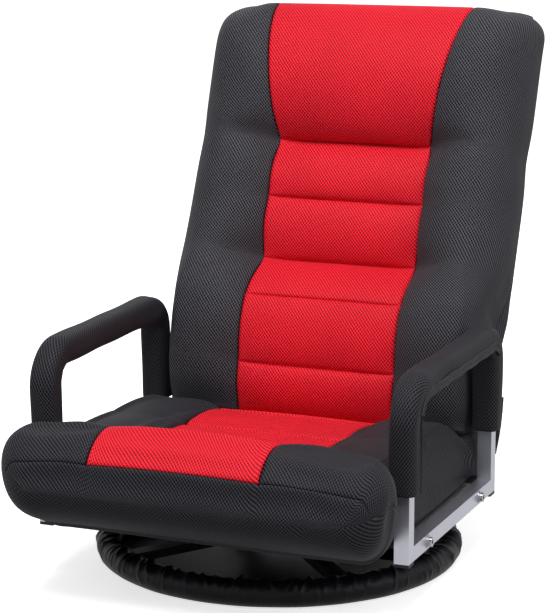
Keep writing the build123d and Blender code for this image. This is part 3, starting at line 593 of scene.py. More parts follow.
def round_off(uppers, lowers):
    """Smooths half sections from the red panel's seam round to the base, and keeps their size."""
    turn = red_columns
    under = half_columns - corner_columns
    chain = np.concatenate([uppers[:, turn:], lowers[:, under:-1][:, ::-1]], 1)
    for share in section_steps * section_rounds:
        middle = (chain[:, :-2] + chain[:, 2:]) / 2
        chain[:, 1:-1] += (middle - chain[:, 1:-1]) * share
    count = uppers.shape[1] - turn
    uppers[:, turn:] = chain[:, :count]
    lowers[:, under:-1] = chain[:, count:][:, ::-1]
    lowers[:, -1] = uppers[:, -1]


def both_halves(left, right):
    """Whole rows of both grids, smoothed, from the half sections of each side."""
    halves = []
    for sections in (left, right):
        uppers, lowers = (np.array(grid) for grid in zip(*sections))
        round_off(uppers, lowers)
        halves.append((uppers, lowers))
    return [np.array([full_row(a, b) for a, b in zip(*grids)]) for grids in zip(*halves)]


def soften(places, values, width):
    """Values along a line, averaged over a width."""
    places, values = np.array(places), np.array(values)
    weights = np.exp(-((places[:, None] - places[None, :]) / width) ** 2)
    weights = weights * np.maximum(np.gradient(places), 1e-5)[None, :]
    return (weights * values[None, :]).sum(1) / weights.sum(1)


def between_tufts(share):
    """A share of the way between two sewn lines, moved so that rows lie closer together at both."""
    return share - row_ease * math.sin(2 * math.pi * share) / (2 * math.pi)


def swell(share):
    """How far a panel has swollen on the way from one sewn line to the next."""
    return max(math.sin(math.pi * share), 0) ** 0.5


class Shell:
    """A cushion's skin as an upper and a lower grid that share their borders."""

    def __init__(self, upper, lower, by_column=False):
        ends = (0, -1)
        for r in ends:
            upper[r] = lower[r] = (upper[r] + lower[r]) / 2
        for c in ends:
            lower[:, c] = upper[:, c]
        rows, columns = upper.shape[:2]
        self.upper = np.arange(rows * columns).reshape(rows, columns)
        self.lower = self.upper.copy()
        inner = (rows - 2) * (columns - 2)
        self.lower[1:-1, 1:-1] = rows * columns + np.arange(inner).reshape(rows - 2, columns - 2)
        self.points = np.concatenate([upper.reshape(-1, 3), lower[1:-1, 1:-1].reshape(-1, 3)])
        self.faces, self.where = [], []
        u, w = self.upper, self.lower
        for r in range(rows - 1):
            for c in range(columns - 1):
                self.faces.append((u[r, c], u[r, c + 1], u[r + 1, c + 1], u[r + 1, c]))
                self.where.append((True, r, c))
                self.faces.append((w[r + 1, c], w[r + 1, c + 1], w[r, c + 1], w[r, c]))
                self.where.append((False, r, c))
        self.cloth = self.cloth_coordinates(upper, lower, by_column)

    def cloth_coordinates(self, upper, lower, by_column):
        """Lengths across and along the cloth at each point, for the upper faces and for the lower ones.

        The lengths along are those of each column, or everywhere those of the middle one.
        """
        def lengths(grid, axis):
            steps = np.linalg.norm(np.diff(grid, axis=axis), axis=2)
            start = np.zeros((1, grid.shape[1])) if axis == 0 else np.zeros((grid.shape[0], 1))
            return np.concatenate([start, np.cumsum(steps, axis)], axis)

        coordinates = {}
        for up, grid, numbers in ((True, upper, self.upper), (False, lower, self.lower)):
            across, along = lengths(grid, 1), lengths(grid, 0)
            middle = slice(centre, centre + 1)
            across -= across[:, middle]
            if not by_column:
                along = np.repeat(along[:, middle], grid.shape[1], 1)
            along = along - along[-1] if up else along[-1] - along
            coordinates[up] = np.zeros((len(self.points), 2))
            coordinates[up][numbers] = np.stack([across, along], -1)
        return coordinates

    def piece(self, name, material, panel_of, panel, cloth=None):
        """A panel of the cover: the faces for which panel_of(upper, row, column) names it."""
        cloth = cloth or self.cloth
        kept = [k for k, where in enumerate(self.where) if panel_of(*where) == panel]
        used, faces = picked([self.faces[k] for k in kept])
        uv = [cloth[self.where[k][0]][i] for k in kept for i in self.faces[k]]
        return mesh_object(name, self.points[used], faces, material, uv)

    def normals(self):
        """Unit normals at the points."""
        points, quads = self.points, np.array(self.faces)
        a, b, c, d = (points[corner] for corner in quads.T)
        across = np.cross(c - a, d - b)
        normals = np.zeros_like(points)
        for corner in quads.T:
            np.add.at(normals, corner, across)
        return normals / np.maximum(np.linalg.norm(normals, axis=1, keepdims=True), 1e-12)

    def draw_in(self, *grooves):
        """Sinks sets of points by their depths along the skin's normals."""
        normals = self.normals()
        for chosen, depth in grooves:
            sunk = sorted(chosen)
            self.points[sunk] -= normals[sunk] * depth


def inflate(points, faces, pins):
    """Blows up a closed skin as cloth, held at its pins, and returns how far its points move."""
    trial = mesh_object("trial", points, faces, None)
    group = trial.vertex_groups.new(name="pin")
    group.add([int(i) for i in pins], 1.0, "REPLACE")
    cloth = trial.modifiers.new("cloth", "CLOTH")
    for key, value in cloth_settings.items():
        setattr(cloth.settings, key, value)
    cloth.settings.effector_weights.gravity = 0
    cloth.collision_settings.use_collision = False
    cloth.collision_settings.use_self_collision = False
    cloth.point_cache.frame_start = 1
    cloth.point_cache.frame_end = cloth_frames
    for f in range(1, cloth_frames + 1):
        scene.frame_set(f)
    shown = trial.evaluated_get(bpy.context.evaluated_depsgraph_get())
    moved = np.array([v.co for v in shown.data.vertices])
    scene.frame_set(1)
    bpy.data.objects.remove(trial)
    return moved - points


def at_places(grid, along, wanted):
    """A grid's rows at other places along it."""
    after = np.clip(np.searchsorted(along, wanted), 1, len(along) - 1)
    share = (wanted - along[after - 1]) / np.maximum(along[after] - along[after - 1], 1e-9)
    share = np.clip(share, 0, 1)[:, None, None]
    return grid[after - 1] * (1 - share) + grid[after] * share


def settle(values, faces, rounds):
    """Values at the points of a mesh, averaged with their neighbours some times over."""
    quads = np.array(faces)
    following = np.roll(quads, -1, axis=1)
    ends = np.concatenate([quads, following]).reshape(-1)
    others = np.concatenate([following, quads]).reshape(-1)
    count = np.zeros((len(values), 1))
    np.add.at(count, ends, 1)
    for _ in range(rounds):
        total = np.zeros_like(values)
        np.add.at(total, ends, values[others])
        values = total / count
    return values


def billow(upper, lower, sewn, fixed):
    """Swells a cushion's grids by cloth simulation on evenly spaced rows, and keeps the folds, not the drift.

    sewn lists the row, first column and last column of each sewn line.
    fixed is the first and the last column of the lower grid that rest.
    """
    steps = np.linalg.norm(np.diff(upper[:, centre], axis=0), axis=1)
    along = np.concatenate([[0], np.cumsum(np.maximum(steps, 1e-6))])
    even = np.linspace(0, along[-1], round(along[-1] / cloth_spacing) + 1)
    shell = Shell(at_places(upper, along, even), at_places(lower, along, even))
    pins = set()
    for row, first, last in sewn:
        near = int(np.argmin(np.abs(even - along[row])))
        pins.update(shell.upper[near, first:last + 1])
    rest_first, rest_last = fixed
    pins.update(shell.lower[:, rest_first:rest_last + 1].ravel())
    step = inflate(shell.points, shell.faces, sorted(pins))
    fold = step - settle(step, shell.faces, cloth_rounds)
    length = np.linalg.norm(fold, axis=1, keepdims=True)
    fold *= np.minimum(1, cloth_cap / np.maximum(length, 1e-9))
    fold[sorted(pins)] = 0
    upper += at_places(fold[shell.upper], even, along)
    lower += at_places(fold[shell.lower], even, along)


def dress(piece, body, replaced):
    """Gives a cushion's panel its cloth thickness and joins it to its body."""
    thicken(piece, cover_thickness, -1, seam_crease)
    refine(piece).boundary_smooth = "PRESERVE_CORNERS"
    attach(piece, body)
    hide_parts(*replaced)


# Back cushion

def above_arms(height):
    """How far a height is out of the part beside the arms, from none to one."""
    return eased(way(height, back_low_top, tufts[arms_tuft]))


def corner_drop(height):
    """How far the top corner's rounding has drawn in at a height, as a share."""
    return 1 - math.sqrt(1 - way(height, back_height - top_corner, back_height) ** 2)


def back_rows():
    """Places up the back: panel, share of it, how full the section still is, and an offset along the back."""
    rows = [(0, 0.0, fullness, offset) for fullness, offset in foot_rows]
    for i, count in enumerate(panel_rows):
        rows += [(i, between_tufts(k / count), 1.0, 0.0) for k in range(count)]
    last = len(panel_rows) - 1
    return rows + [(last, head_share, fullness, offset) for fullness, offset in head_rows]


def back_level(i, share):
    """A height on the back, with the depth of the red panel and of the bolsters there."""
    height = mix(tufts[i], tufts[i + 1], share)
    front = mix(tuft_fronts[i], tuft_fronts[i + 1], share) + panel_crowns[i] * swell(share)
    return height, front, np.interp(height, *zip(*bolster_line))


def back_half_section(height, front, seam_h, crest, fullness):
    above = above_arms(height)
    rear = back_rear + top_corner / 2 * corner_drop(height)
    half = mix(back_low_half, back_half, above) - top_corner * corner_drop(height)
    half -= waist * math.exp(-((height - tufts[head_tuft]) / top_corner) ** 2)
    seam_x = mix(red_half, red_top_half, way(height, tufts[head_tuft], back_height))
    crest_x = max(mix(low_crest, high_crest, above), mix(seam_x, half, crest_share))
    side_h = mix(rear, crest, back_side_share)
    side = (half, side_h)
    under = arc(side, (half - back_base_corner, rear), back_bulge, corner_columns, 0)
    upper, lower = half_section((seam_x, seam_h), front, (crest_x, crest), side, under, back_bulge,
                                mix(low_power, high_power, above))
    flare = back_flare * (1 - above)
    flare += arm_flare * math.exp(-((height - back_low_top - arm_flare_reach / 2) / arm_flare_reach) ** 2)
    flare_share = np.exp(-((lower[:, 1] - mix(rear, side_h, 0.5)) / flare_depth) ** 2)
    lower[:, 0] += flare * flare_share * (lower[:, 0] > seam_x)
    middle = (upper[:, 1] + lower[:, 1]) / 2
    for line in (upper, lower):
        line[:, 1] = middle + (line[:, 1] - middle) * fullness
        line[:, 0] *= mix(end_narrowing, 1.0, fullness)
    return upper, lower


def press_valleys(upper, heights):
    """Presses in the bolsters where the deepest tufts pull on them."""
    for tuft, depth in valleys:
        row_share = np.exp(-((heights - tufts[tuft]) / valley_width) ** 2)
        for k in range(1, valley_columns):
            share = math.sin(math.pi * (k / valley_columns) ** valley_power)
            for side in (1, -1):
                upper[:, centre + side * (red_columns + k), 1] -= depth * row_share * share


def back_place(rows, heights):
    """Points of the upright back, put where the leaned back is."""
    x, depth = rows[..., 0], rows[..., 1]
    up = np.repeat(np.array(heights)[:, None], x.shape[1], 1)
    up = up + top_tilt * x * way(up, tufts[head_tuft], back_height) ** 2
    y = hinge_y - depth * math.cos(back_lean) + up * math.sin(back_lean)
    z = hinge_z + depth * math.sin(back_lean) + up * math.cos(back_lean)
    return np.stack([x, y, z], -1)


def build_back():
    places = back_rows()
    levels = [back_level(i, share) for i, share, fullness, offset in places]
    heights = np.array([level[0] + place[3] for level, place in zip(levels, places)])
    soft_seams = soften(heights, [level[1] for level in levels], seam_softness)
    soft_crests = soften(heights, [level[2] for level in levels], crest_softness)
    sections = []
    for place, (height, front, crest), seam_h, crest_h in zip(places, levels, soft_seams, soft_crests):
        near_top = way(height, top_start, back_height)
        sections.append(back_half_section(height, front, mix(seam_h, front, near_top),
                                          mix(crest_h, crest, near_top), place[2]))
    upper, lower = both_halves(sections, sections)
    press_valleys(upper, heights)
    upper, lower = back_place(upper, heights), back_place(lower, heights)
    first, last = seam_columns
    sewn = [r for r, place in enumerate(places) if place[0] > 0 and place[1] == 0.0]
    seams = [(r, c, c) for r in range(len(places)) for c in seam_columns]
    billow(upper, lower, seams + [(r, first, last) for r in sewn], (0, 2 * centre))
    shell = Shell(upper, lower)
    tuft_points = {i for r in sewn for i in shell.upper[r, first:last + 1]}
    seam_points = {i for c in seam_columns for i in shell.upper[:, c]}
    shell.draw_in((tuft_points | seam_points, back_groove))

    def panel_of(up, r, c):
        if not up:
            return "rear"
        if first <= c < last:
            return "centre"
        return "left" if c >= last else "right"

    looks = {"centre": (red_mesh, "red_mesh"), "left": (black_mesh, "black_mesh"),
             "right": (black_mesh, "black_mesh"), "rear": (black_mesh, "black_cloth")}
    for name, (material, slot) in looks.items():
        piece = shell.piece("back_pad_" + name, material, panel_of, name)
        inside = ["back_foam"] if name == "rear" else []
        dress(piece, "back", ["back_cover_" + name, *inside])


def build_back_flap():
    """The back cover's closing flap, a strip of cloth that hangs down behind the hinge."""
    shares = np.linspace(0, 1, flap_rows)
    heights = mix(flap_top, flap_bottom, shares)
    rows = []
    for t in shares:
        half = mix(flap_half, flap_low_half, t) + flap_side_bulge * math.sin(math.pi * t)
        x = np.linspace(-half, half, flap_columns)
        stand = flap_gap + flap_stand * t ** flap_power - flap_wave * t * waves(x, flap_waves)
        rows.append(np.stack([x, back_rear - stand], 1))
    points = back_place(np.array(rows), heights).reshape(-1, 3)
    uv = [(x, height) for line, height in zip(rows, heights) for x in line[:, 0]]
    faces = flipped(grid_faces(flap_rows, flap_columns, False))
    piece = mesh_object("back_flap", points, faces, black_cloth, uv)
    thicken(piece, flap_thickness, -1)
    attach(piece, "back")


# Seat cushion

def seat_rows():
    """Places along the seat from the rear to the front line, and which of them is the front seam.

    Each is y, top, base, half width, the crest's place and rise, the widest line's share and the base corner.
    """
    rows = []
    rear_middle = (seat_rear_top + seat_base) / 2
    for fullness, out in seat_end_rows:
        top = mix(rear_middle, seat_rear_top - seat_end_drop, fullness)
        low = mix(rear_middle, seat_base, fullness)
        rows.append((seat_rear + out, top, low, seat_half - seat_end_narrowing, seat_crest, 0,
                     seat_side_share, seat_base_corner * fullness))
    edges = (crease_y, *seat_lines, seat_rear)
    tops = (crease_top, *seat_line_tops, seat_rear_top)
    for i, count in reversed(list(enumerate(seat_panel_rows))):
        for k in range(count):
            share = between_tufts(1 - k / count)
            y = mix(edges[i], edges[i + 1], share)
            top = mix(tops[i], tops[i + 1], share) + seat_crowns[i] * swell(share)
            rise = seat_side_rise if i < 2 else seat_side_rise * (1 - share)
            half = seat_half
            if i == 0:
                rise *= min(1, crease_rise_share + share * crease_rise_rate)
                half = mix(roll_half - roll_end_taper, seat_half, min(1, share * crease_taper_rate))
            rows.append((y, top, seat_base, half, seat_crest, rise, seat_side_share, seat_base_corner))
    for k in range(roll_rear_rows):
        t = k / roll_rear_rows
        share = np.clip(1 - t - roll_ease * math.sin(math.pi * t) / math.pi, 0, 1)
        y = mix(roll_top_y, crease_y, share)
        top = crease_top + (roll_top - crease_top) * math.cos(share * math.pi / 2)
        half = roll_half - roll_end_taper * share ** 2
        rise = mix(-roll_side_drop, seat_side_rise / 2, share)
        widest = mix(roll_side_share, seat_side_share, share)
        crest = mix(roll_crest, seat_crest, share)
        corner = mix(roll_base_corner, seat_base_corner, share)
        rows.append((y, top, seat_base, half, crest, rise, widest, corner))
    seam_row = len(rows) + roll_angles.index(seam_angle)
    for degrees in roll_angles:
        turn = math.radians(degrees)
        y = seat_front + (roll_top_y - seat_front) * (1 - math.cos(turn))
        top = roll_middle + (roll_top - roll_middle) * math.sin(turn)
        under = 1 - (y - seat_front) / (roll_base_y - seat_front)
        low = roll_middle - (roll_middle - seat_base) * math.sqrt(max(1 - under ** 2, 0))
        rise = -roll_side_drop * min(1, degrees / drop_fade)
        rows.append((y, top, low, roll_half, roll_crest, rise, roll_side_share, roll_base_corner))
    return rows, seam_row


def seat_half_sections(places):
    """Half sections of the left side and of the right side, with the roll's ends rounded off in front."""
    left_side, right_side = [], []
    sides = ((left_side, left_corner_share, left_end_radius), (right_side, 1.0, right_end_radius))
    distance = running_length(np.array([place[:2] for place in places]))
    crests = soften(distance, [place[1] + place[5] for place in places], seat_softness)
    full_side = mix(seat_base, roll_top, roll_side_share)
    for (y, top, base, half, crest, rise, widest, corner), soft_h in zip(places, crests):
        crest_h = mix(soft_h, top + rise, way(y, crease_y + crest_fade, crease_y))
        side_h = mix(base, crest_h, widest)
        on_roll = way(y, crease_y, roll_top_y)
        bulge = mix(seat_bulge, roll_bulge, on_roll)
        power = mix(seat_power, roll_power, on_roll)
        above, below = 1.0, 1.0
        if y < roll_top_y:
            above = min((crest_h - side_h) / (roll_top - roll_side_drop - full_side), 1)
            below = min((side_h - base) / (full_side - seat_base), 1)
        for sections, fuller, radius in sides:
            inside = max(radius - (y - seat_front), 0)
            end = half - (radius - math.sqrt(radius ** 2 - inside ** 2))
            side = (end, side_h)
            low = (end - mix(corner, corner * fuller, on_roll) * below, base)
            under = np.concatenate([[low], shoulder(low, side, under_power, corner_columns)])[-2::-1]
            ridge = (max(end - (half - crest) * above, red_half + least_bolster), crest_h)
            sections.append(half_section((red_half, top), top, ridge, side, under, bulge, power))
    return left_side, right_side


def seat_place(rows, ys):
    """Points of the seat's sections along it, with its shifts sideways, the roll's bow and the rear ears."""
    x, y = rows[..., 0], ys[:, None]
    on_roll = way(y, crease_y, roll_top_y)
    red_shift = mix(crease_shift * way(y, seat_rear, crease_y) ** 2, front_shift, on_roll)
    outward = eased(way(np.abs(x), red_half, roll_crest))
    shift = mix(red_shift, roll_shift * on_roll, outward)
    bow = end_bow * way(np.abs(x), roll_flat, roll_half) ** 2 * way(y, roll_top_y, seat_front)
    ears = seat_rear_ears * outward * way(y, seat_lines[1], seat_rear)
    return np.stack([x + shift, y + bow + ears, rows[..., 1]], -1)


def lift_underside(lower):
    """Raises the roll's underside on its right half, apart from its end."""
    x, y = lower[..., 0], lower[..., 1]
    end = end_keep - roll_half
    on_right = way(x, under_lift_end, -under_lift_end) * way(x, end, end + end_fade)
    lower[..., 2] += under_lift * on_right * way(y, roll_base_y, roll_base_y - under_lift_reach) ** 2


def build_seat():
    places, seam_row = seat_rows()
    ys = np.array([place[0] for place in places])
    upper, lower = (seat_place(rows, ys) for rows in both_halves(*seat_half_sections(places)))
    lift_underside(lower)
    columns = upper.shape[1]
    first, last = seam_columns
    edge = corner_columns
    sewn = [r for r in range(len(ys)) if np.abs(ys[r] - (crease_y, *seat_lines)).min() < 1e-6]
    crease_row = int(np.argmin(np.abs(ys - crease_y)))
    lines = [(r, first, last) for r in sewn] + [(r, c, c) for r in range(seam_row + 1) for c in seam_columns]
    lines += [(crease_row, 1, columns - 2), (seam_row, front_seam_end, columns - 1 - front_seam_end)]
    billow(upper, lower, lines, (edge, columns - 1 - edge))
    shell = Shell(upper, lower, by_column=True)
    shell.faces = flipped(shell.faces)
    for cloth in shell.cloth.values():
        cloth[:, 1] *= -1
    # The weave of the side panels runs along the bolsters' crest
    side_cloth = {up: cloth.copy() for up, cloth in shell.cloth.items()}
    for side, outer in ((1, slice(last, None)), (-1, slice(None, first + 1))):
        on_crest = shell.upper[:, centre + side * (red_columns + inner_columns)]
        drift = shell.cloth[True][on_crest, 0] - shell.cloth[True][on_crest[seam_row], 0]
        for up, grid in ((True, shell.upper), (False, shell.lower)):
            side_cloth[up][grid[:seam_row, outer], 0] -= drift[:seam_row, None]
    tuft_points = {i for r in sewn for i in shell.upper[r, first:last + 1]}
    seam_points = {i for c in seam_columns for i in shell.upper[:seam_row + 1, c]}
    front_seam = shell.upper[seam_row, front_seam_end:columns - front_seam_end]
    shell.draw_in((tuft_points | seam_points, seat_groove), (front_seam, front_groove))

    def panel_of(up, r, c):
        if up and r < seam_row:
            if first <= c < last:
                return "centre"
            return "left" if c >= last else "right"
        if not up and edge <= c < columns - 1 - edge and ys[r] > roll_base_y:
            return "base"
        if not up and ys[r] > crease_y:
            return "left" if c >= centre else "right"
        return "boxing"

    # The seat's black panels take the darker copy of the black mesh, whose darkening is painted shade
    looks = {"centre": (red_mesh, "red_mesh"), "left": (shaded_black_mesh, "black_mesh"),
             "right": (shaded_black_mesh, "black_mesh"), "boxing": (shaded_black_mesh, "black_mesh"),
             "base": (black_cloth, "black_cloth")}
    for name, (material, slot) in looks.items():
        cloth = side_cloth if name in ("left", "right") else shell.cloth
        piece = shell.piece("seat_pad_" + name, material, panel_of, name, cloth)
        dress(piece, "seat", ["seat_foam" if name == "base" else "seat_cover_" + name])


# Arm sleeves

def arm_path():
    """Points of the arm's centre line from front to rear, with the outward direction in its plane."""
    front_leg, front_turn, rest, rear_turn, rear_leg = path_rows
    front_y, front_z = arm_front + front_bend, arm_top - front_bend
    rear_y, rear_z = arm_rear - rear_bend, arm_top - rear_bend
    path = [(arm_front, z, -1.0, 0.0) for z in np.linspace(sleeve_bottom, front_z, front_leg)[:-1]]
    for a in np.linspace(0, math.pi / 2, front_turn):
        out = (-math.cos(a), math.sin(a))
        path.append((front_y + front_bend * out[0], front_z + front_bend * out[1], *out))
    path += [(y, arm_top, 0.0, 1.0) for y in np.linspace(front_y, rear_y, rest)[1:-1]]
    for a in np.linspace(0, math.pi / 2, rear_turn):
        out = (math.sin(a), math.cos(a))
        path.append((rear_y + rear_bend * out[0], rear_z + rear_bend * out[1], *out))
    path += [(arm_rear, z, 1.0, 0.0) for z in np.linspace(rear_z, sleeve_bottom, rear_leg)[1:]]
    return np.array(path)


def build_sleeve(side, sign):
    """A soft square sleeve round the arm's tube, with some slack, turned in at both ends."""
    path = arm_path()
    y, z, out_y, out_z = path.T[..., None]
    run = running_length(path[:, :2])
    angles = np.linspace(0, 2 * math.pi, sleeve_columns, endpoint=False)
    across, out = np.cos(angles), np.sin(angles)
    radius = 1 / (np.abs(across) ** sleeve_power + np.abs(out) ** sleeve_power) ** (1 / sleeve_power)
    rng = np.random.default_rng(sleeve_seeds[side])
    limits = (slack_rates, phase_limits, slack_heights)
    slack = [[rng.uniform(*pair) for pair in limits] for _ in range(slack_waves)]
    size = sleeve_half * radius + slack_share * sum(
        height * np.sin(rate * run[:, None] + phase + 2 * angles) for rate, phase, height in slack)
    size += np.maximum(-out, 0) * np.abs(out_y * out_z) * bend_wave * np.sin(run[:, None] * bend_wave_rate)
    lean = sleeve_lean * way(z, sleeve_bottom, arm_top) if sign < 0 else 0
    rows = np.stack([arm_x + size * across + lean, y + out_y * size * out, z + out_z * size * out + lean], -1)

    def lip(k, share, turned_in):
        core = np.array((arm_x, *path[k, :2]))
        ring = core + (rows[k] - core) * share
        ring[:, 2] += turned_in - lip_drop * math.sqrt(1 - share ** 2)
        return ring

    front = [lip(0, *shape) for shape in sleeve_lips]
    rear = [lip(-1, *shape) for shape in sleeve_lips[::-1]]
    rows = np.concatenate([front, rows, rear])
    rows[..., 0] *= sign
    lips = lip_run * np.arange(1, len(sleeve_lips) + 1)
    along = np.concatenate([-lips[::-1], run, run[-1] + lips])
    uv = grid_cloth(thread_run * np.arange(sleeve_columns), along)
    faces = grid_faces(len(rows), sleeve_columns, True)
    faces = faces if sign < 0 else flipped(faces)
    # The sleeve takes the darker copy of the black mesh, whose darkening is painted shade
    piece = mesh_object("arm_sleeve_" + side, rows.reshape(-1, 3), faces, shaded_black_mesh, uv)
    refine(piece)
    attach(piece, "seat")
    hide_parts("arm_sleeve_cover_" + side, "arm_sleeve_foam_" + side)


# Base cover

def build_base_cover():
    """Gathered cloth from a flat disc on the floor round the base ring to its hem."""
    rng = np.random.default_rng(cover_seed)
    theta = np.linspace(0, 2 * math.pi, cover_turns, endpoint=False)
    place = 0.0
    gathers = []
    while place < 2 * math.pi:
        gathers.append((place, *[rng.uniform(*limits) for limits in gather_limits]))
        place += rng.uniform(*gather_steps)
    wave = ripples(rng, theta, cover_waves, cover_wave_limits)

    def folds(degrees):
        """Height of the gathers round the ring. They start at odd places, lean and deepen towards the hem."""
        total = np.zeros(cover_turns)
        for place, height, width, lean, start in gathers:
            lift = max(0.0, (degrees - start) / (hem_angle - start))
            gap = (theta - place - lean * lift ** gather_lean_power + math.pi) % (2 * math.pi) - math.pi
            total += height * min(1, gather_rise * lift) * np.exp(-np.abs(gap / width) ** gather_power)
        return total - total.mean()

    def ring(radius, z):
        return np.stack(np.broadcast_arrays(radius * np.cos(theta), radius * np.sin(theta), z), 1)

    rings = [ring(radius, cover_floor) for radius in disc_radii]
    for degrees in np.linspace(0, hem_angle, cover_rows):
        turn = math.radians(degrees - 90)
        reach = cover_radius - cover_gap + folds(degrees) * gather_height
        reach += wave * cover_wave * min(1, degrees / cover_wave_start)
        rings.append(ring(ring_radius + reach * math.cos(turn),
                          np.maximum(ring_z + reach * math.sin(turn), cover_floor)))
    points, faces, _ = tube_grid(rings)
    faces += [(len(points), (c + 1) % cover_turns, c) for c in range(cover_turns)]
    points = np.concatenate([points, [(0, 0, cover_floor)]])
    piece = mesh_object("base_cover_gathered", points, faces, satin_cloth)
    thicken(piece, cover_sheet, -1)
    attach(piece, "base")
    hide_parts("base_cover")
    reach = ring_radius + cover_radius * math.radians(hem_angle)


# Cover of the joint between seat and back

joint_start = 68            # degrees round the hinge
joint_columns = 72
joint_rows = 26
# Degrees round the hinge and distances from it
joint_outline = ((joint_start, 0.040), (100, 0.044), (125, 0.050), (150, 0.058), (165, 0.062), (180, 0.060),
                 (192, 0.050), (205, 0.033), (230, 0.021), (255, 0.022), (285, 0.031), (310, 0.038),
                 (340, 0.040), (joint_start + 360, 0.040))
joint_rounds = 6
joint_half = 0.232
joint_caps = ((0.97, 0.0014), (0.88, 0.0030), (0.66, 0.0042), (0.36, 0.0047), (0.0, 0.0048))
joint_folds = ((9, 60, 0.0008), (5, -95, 0.0006))   # rates round and across, and heights
joint_red_end = 205         # degrees round the hinge up to which the middle is red


def build_joint_cover():
    """Cloth drum round the recline hinge, which bends from the seat to the back."""
    degrees = np.linspace(joint_start, joint_start + 360, joint_columns, endpoint=False)
    radius = np.interp(degrees, *zip(*joint_outline))
    for _ in range(joint_rounds):
        radius = (np.roll(radius, 1) + 2 * radius + np.roll(radius, -1)) / 4
    angle = np.radians(degrees)
    spans = {"right": (-joint_half, -red_half), "centre": (-red_half, red_half),
             "left": (red_half, joint_half)}
    for name, (low, high) in spans.items():
        places = [(x, 1.0) for x in np.linspace(low, high, joint_rows)]
        if name == "left":
            places += [(high + out, share) for share, out in joint_caps]
        if name == "right":
            places = [(low - out, share) for share, out in joint_caps[::-1]] + places
        rings = []
        for x, share in places:
            fold = sum(height * np.sin(angle * rate + x * slant) for rate, slant, height in joint_folds)
            reach = (radius + fold) * share
            rings.append(np.stack([np.full(joint_columns, x), hinge_y + reach * np.cos(angle),
                                   hinge_z + reach * np.sin(angle)], 1))
        points, faces, uv = tube_grid(rings)
        # The drum's black parts take the darker copy of the black mesh, whose darkening is painted shade
        parts = [(name, shaded_black_mesh, "black_mesh", faces)]
        if name == "centre":
            shown = [face for face in faces if degrees[face[0] % joint_columns] < joint_red_end]
            hidden = [face for face in faces if degrees[face[0] % joint_columns] >= joint_red_end]
            parts = [(name, red_mesh, "red_mesh", shown), ("rear", shaded_black_mesh, "black_mesh", hidden)]
        for part, material, slot, chosen in parts:
            used, kept = picked(chosen)
            piece = mesh_object("joint_cover_" + part, points[used], kept, material, uv[used])
            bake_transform(piece)


# Plain cloth under the seat

bottom_half = 0.2426
bottom_front = -0.262
bottom_rear = 0.1175
bottom_corner = 0.030
bottom_front_corner = 0.090
bottom_z = 0.0963
bottom_hem = 0.0042
bottom_sheet = 0.0008
hem_least = 0.0006          # the hem runs out at the front, on the right half
hem_front = -0.205
hem_fade = 0.030
hem_left = 0.120
hem_wave = 0.0003
hem_waves = (7, 13, 22, 31)
hem_wave_limits = (0.3, 0.8)
hem_seed = 3
corner_steps = 9
outline_step = 0.012
# Sizes of the cloth's rings as shares of its outline, and how far they lie down the hem
bottom_rings = ((0.0, 0), (0.4, 0), (0.8, 0), (0.96, 0), (0.985, 0), (0.995, 0.1), (1.0, 0.4), (1.0, 1.0))


def bottom_outline():
    """A rectangle with rounded corners, as points round it."""
    corners = []
    rear_x, rear_y = bottom_half - bottom_corner, bottom_rear - bottom_corner
    front_x, front_y = bottom_half - bottom_front_corner, bottom_front + bottom_front_corner
    for x, y, corner, start in ((rear_x, rear_y, bottom_corner, 0), (-rear_x, rear_y, bottom_corner, 90),
                                (-front_x, front_y, bottom_front_corner, 180),
                                (front_x, front_y, bottom_front_corner, 270)):
        for a in np.radians(np.linspace(start, start + 90, corner_steps)):
            corners.append((x + corner * math.cos(a), y + corner * math.sin(a)))
    points = []
    for here, there in zip(corners, corners[1:] + corners[:1]):
        count = max(1, round(math.dist(here, there) / outline_step))
        for i in range(count):
            points.append((mix(here[0], there[0], i / count), mix(here[1], there[1], i / count)))
    return np.array(points)


def build_bottom_cloth():
    """The plain cloth under the seat, with its hem turned down over the ends of the webbing."""
    outline = bottom_outline()
    middle = np.array([0.0, (bottom_front + bottom_rear) / 2])
    angles = np.linspace(0, 2 * math.pi, len(outline), endpoint=False)
    wave = ripples(np.random.default_rng(hem_seed), angles, hem_waves, hem_wave_limits)
    run_out = way(outline[:, 1], hem_front, hem_front - hem_fade) * way(outline[:, 0], hem_left, 0)
    hem = mix(bottom_hem, hem_least, run_out) + hem_wave * wave * (1 - run_out)
    rings = []
    for share, down in bottom_rings:
        flat = middle + (outline - middle) * share
        rings.append(np.stack([flat[:, 0], flat[:, 1], bottom_z - hem * down], 1))
    points, faces, uv = tube_grid(rings)
    piece = mesh_object("seat_bottom_cloth", points, flipped(faces), black_cloth, uv)
    thicken(piece, bottom_sheet, 1)
    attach(piece, "seat")


# Bindings of the arm sleeves: sections across and out, how far in they lie, and how much they sway

strip_half = ((0.0026, 0.0008), (0.0038, 0.0016), (0.0052, 0.0019), (0.0064, 0.0010), (0.0060, -0.0010))
strip_profile = (*((-across, out) for across, out in strip_half[::-1]), *strip_half)
edge_profile = ((-0.0016, -0.0010), (-0.0014, 0.0007), (-0.0004, 0.0013), (0.0006, 0.0011), (0.0022, 0.0002),
                (0.0030, -0.0010))
strip_inset = 0.0065
edge_inset = 0.0085
strip_sway = 0.0006
edge_sway = 0.0004
sway_waves = ((0.55, 0, 1.0), (1.37, 1, 0.6))   # rates, phases and shares
binding_end = 0.35          # how far round the bends a binding goes: one is the straight stretch alone


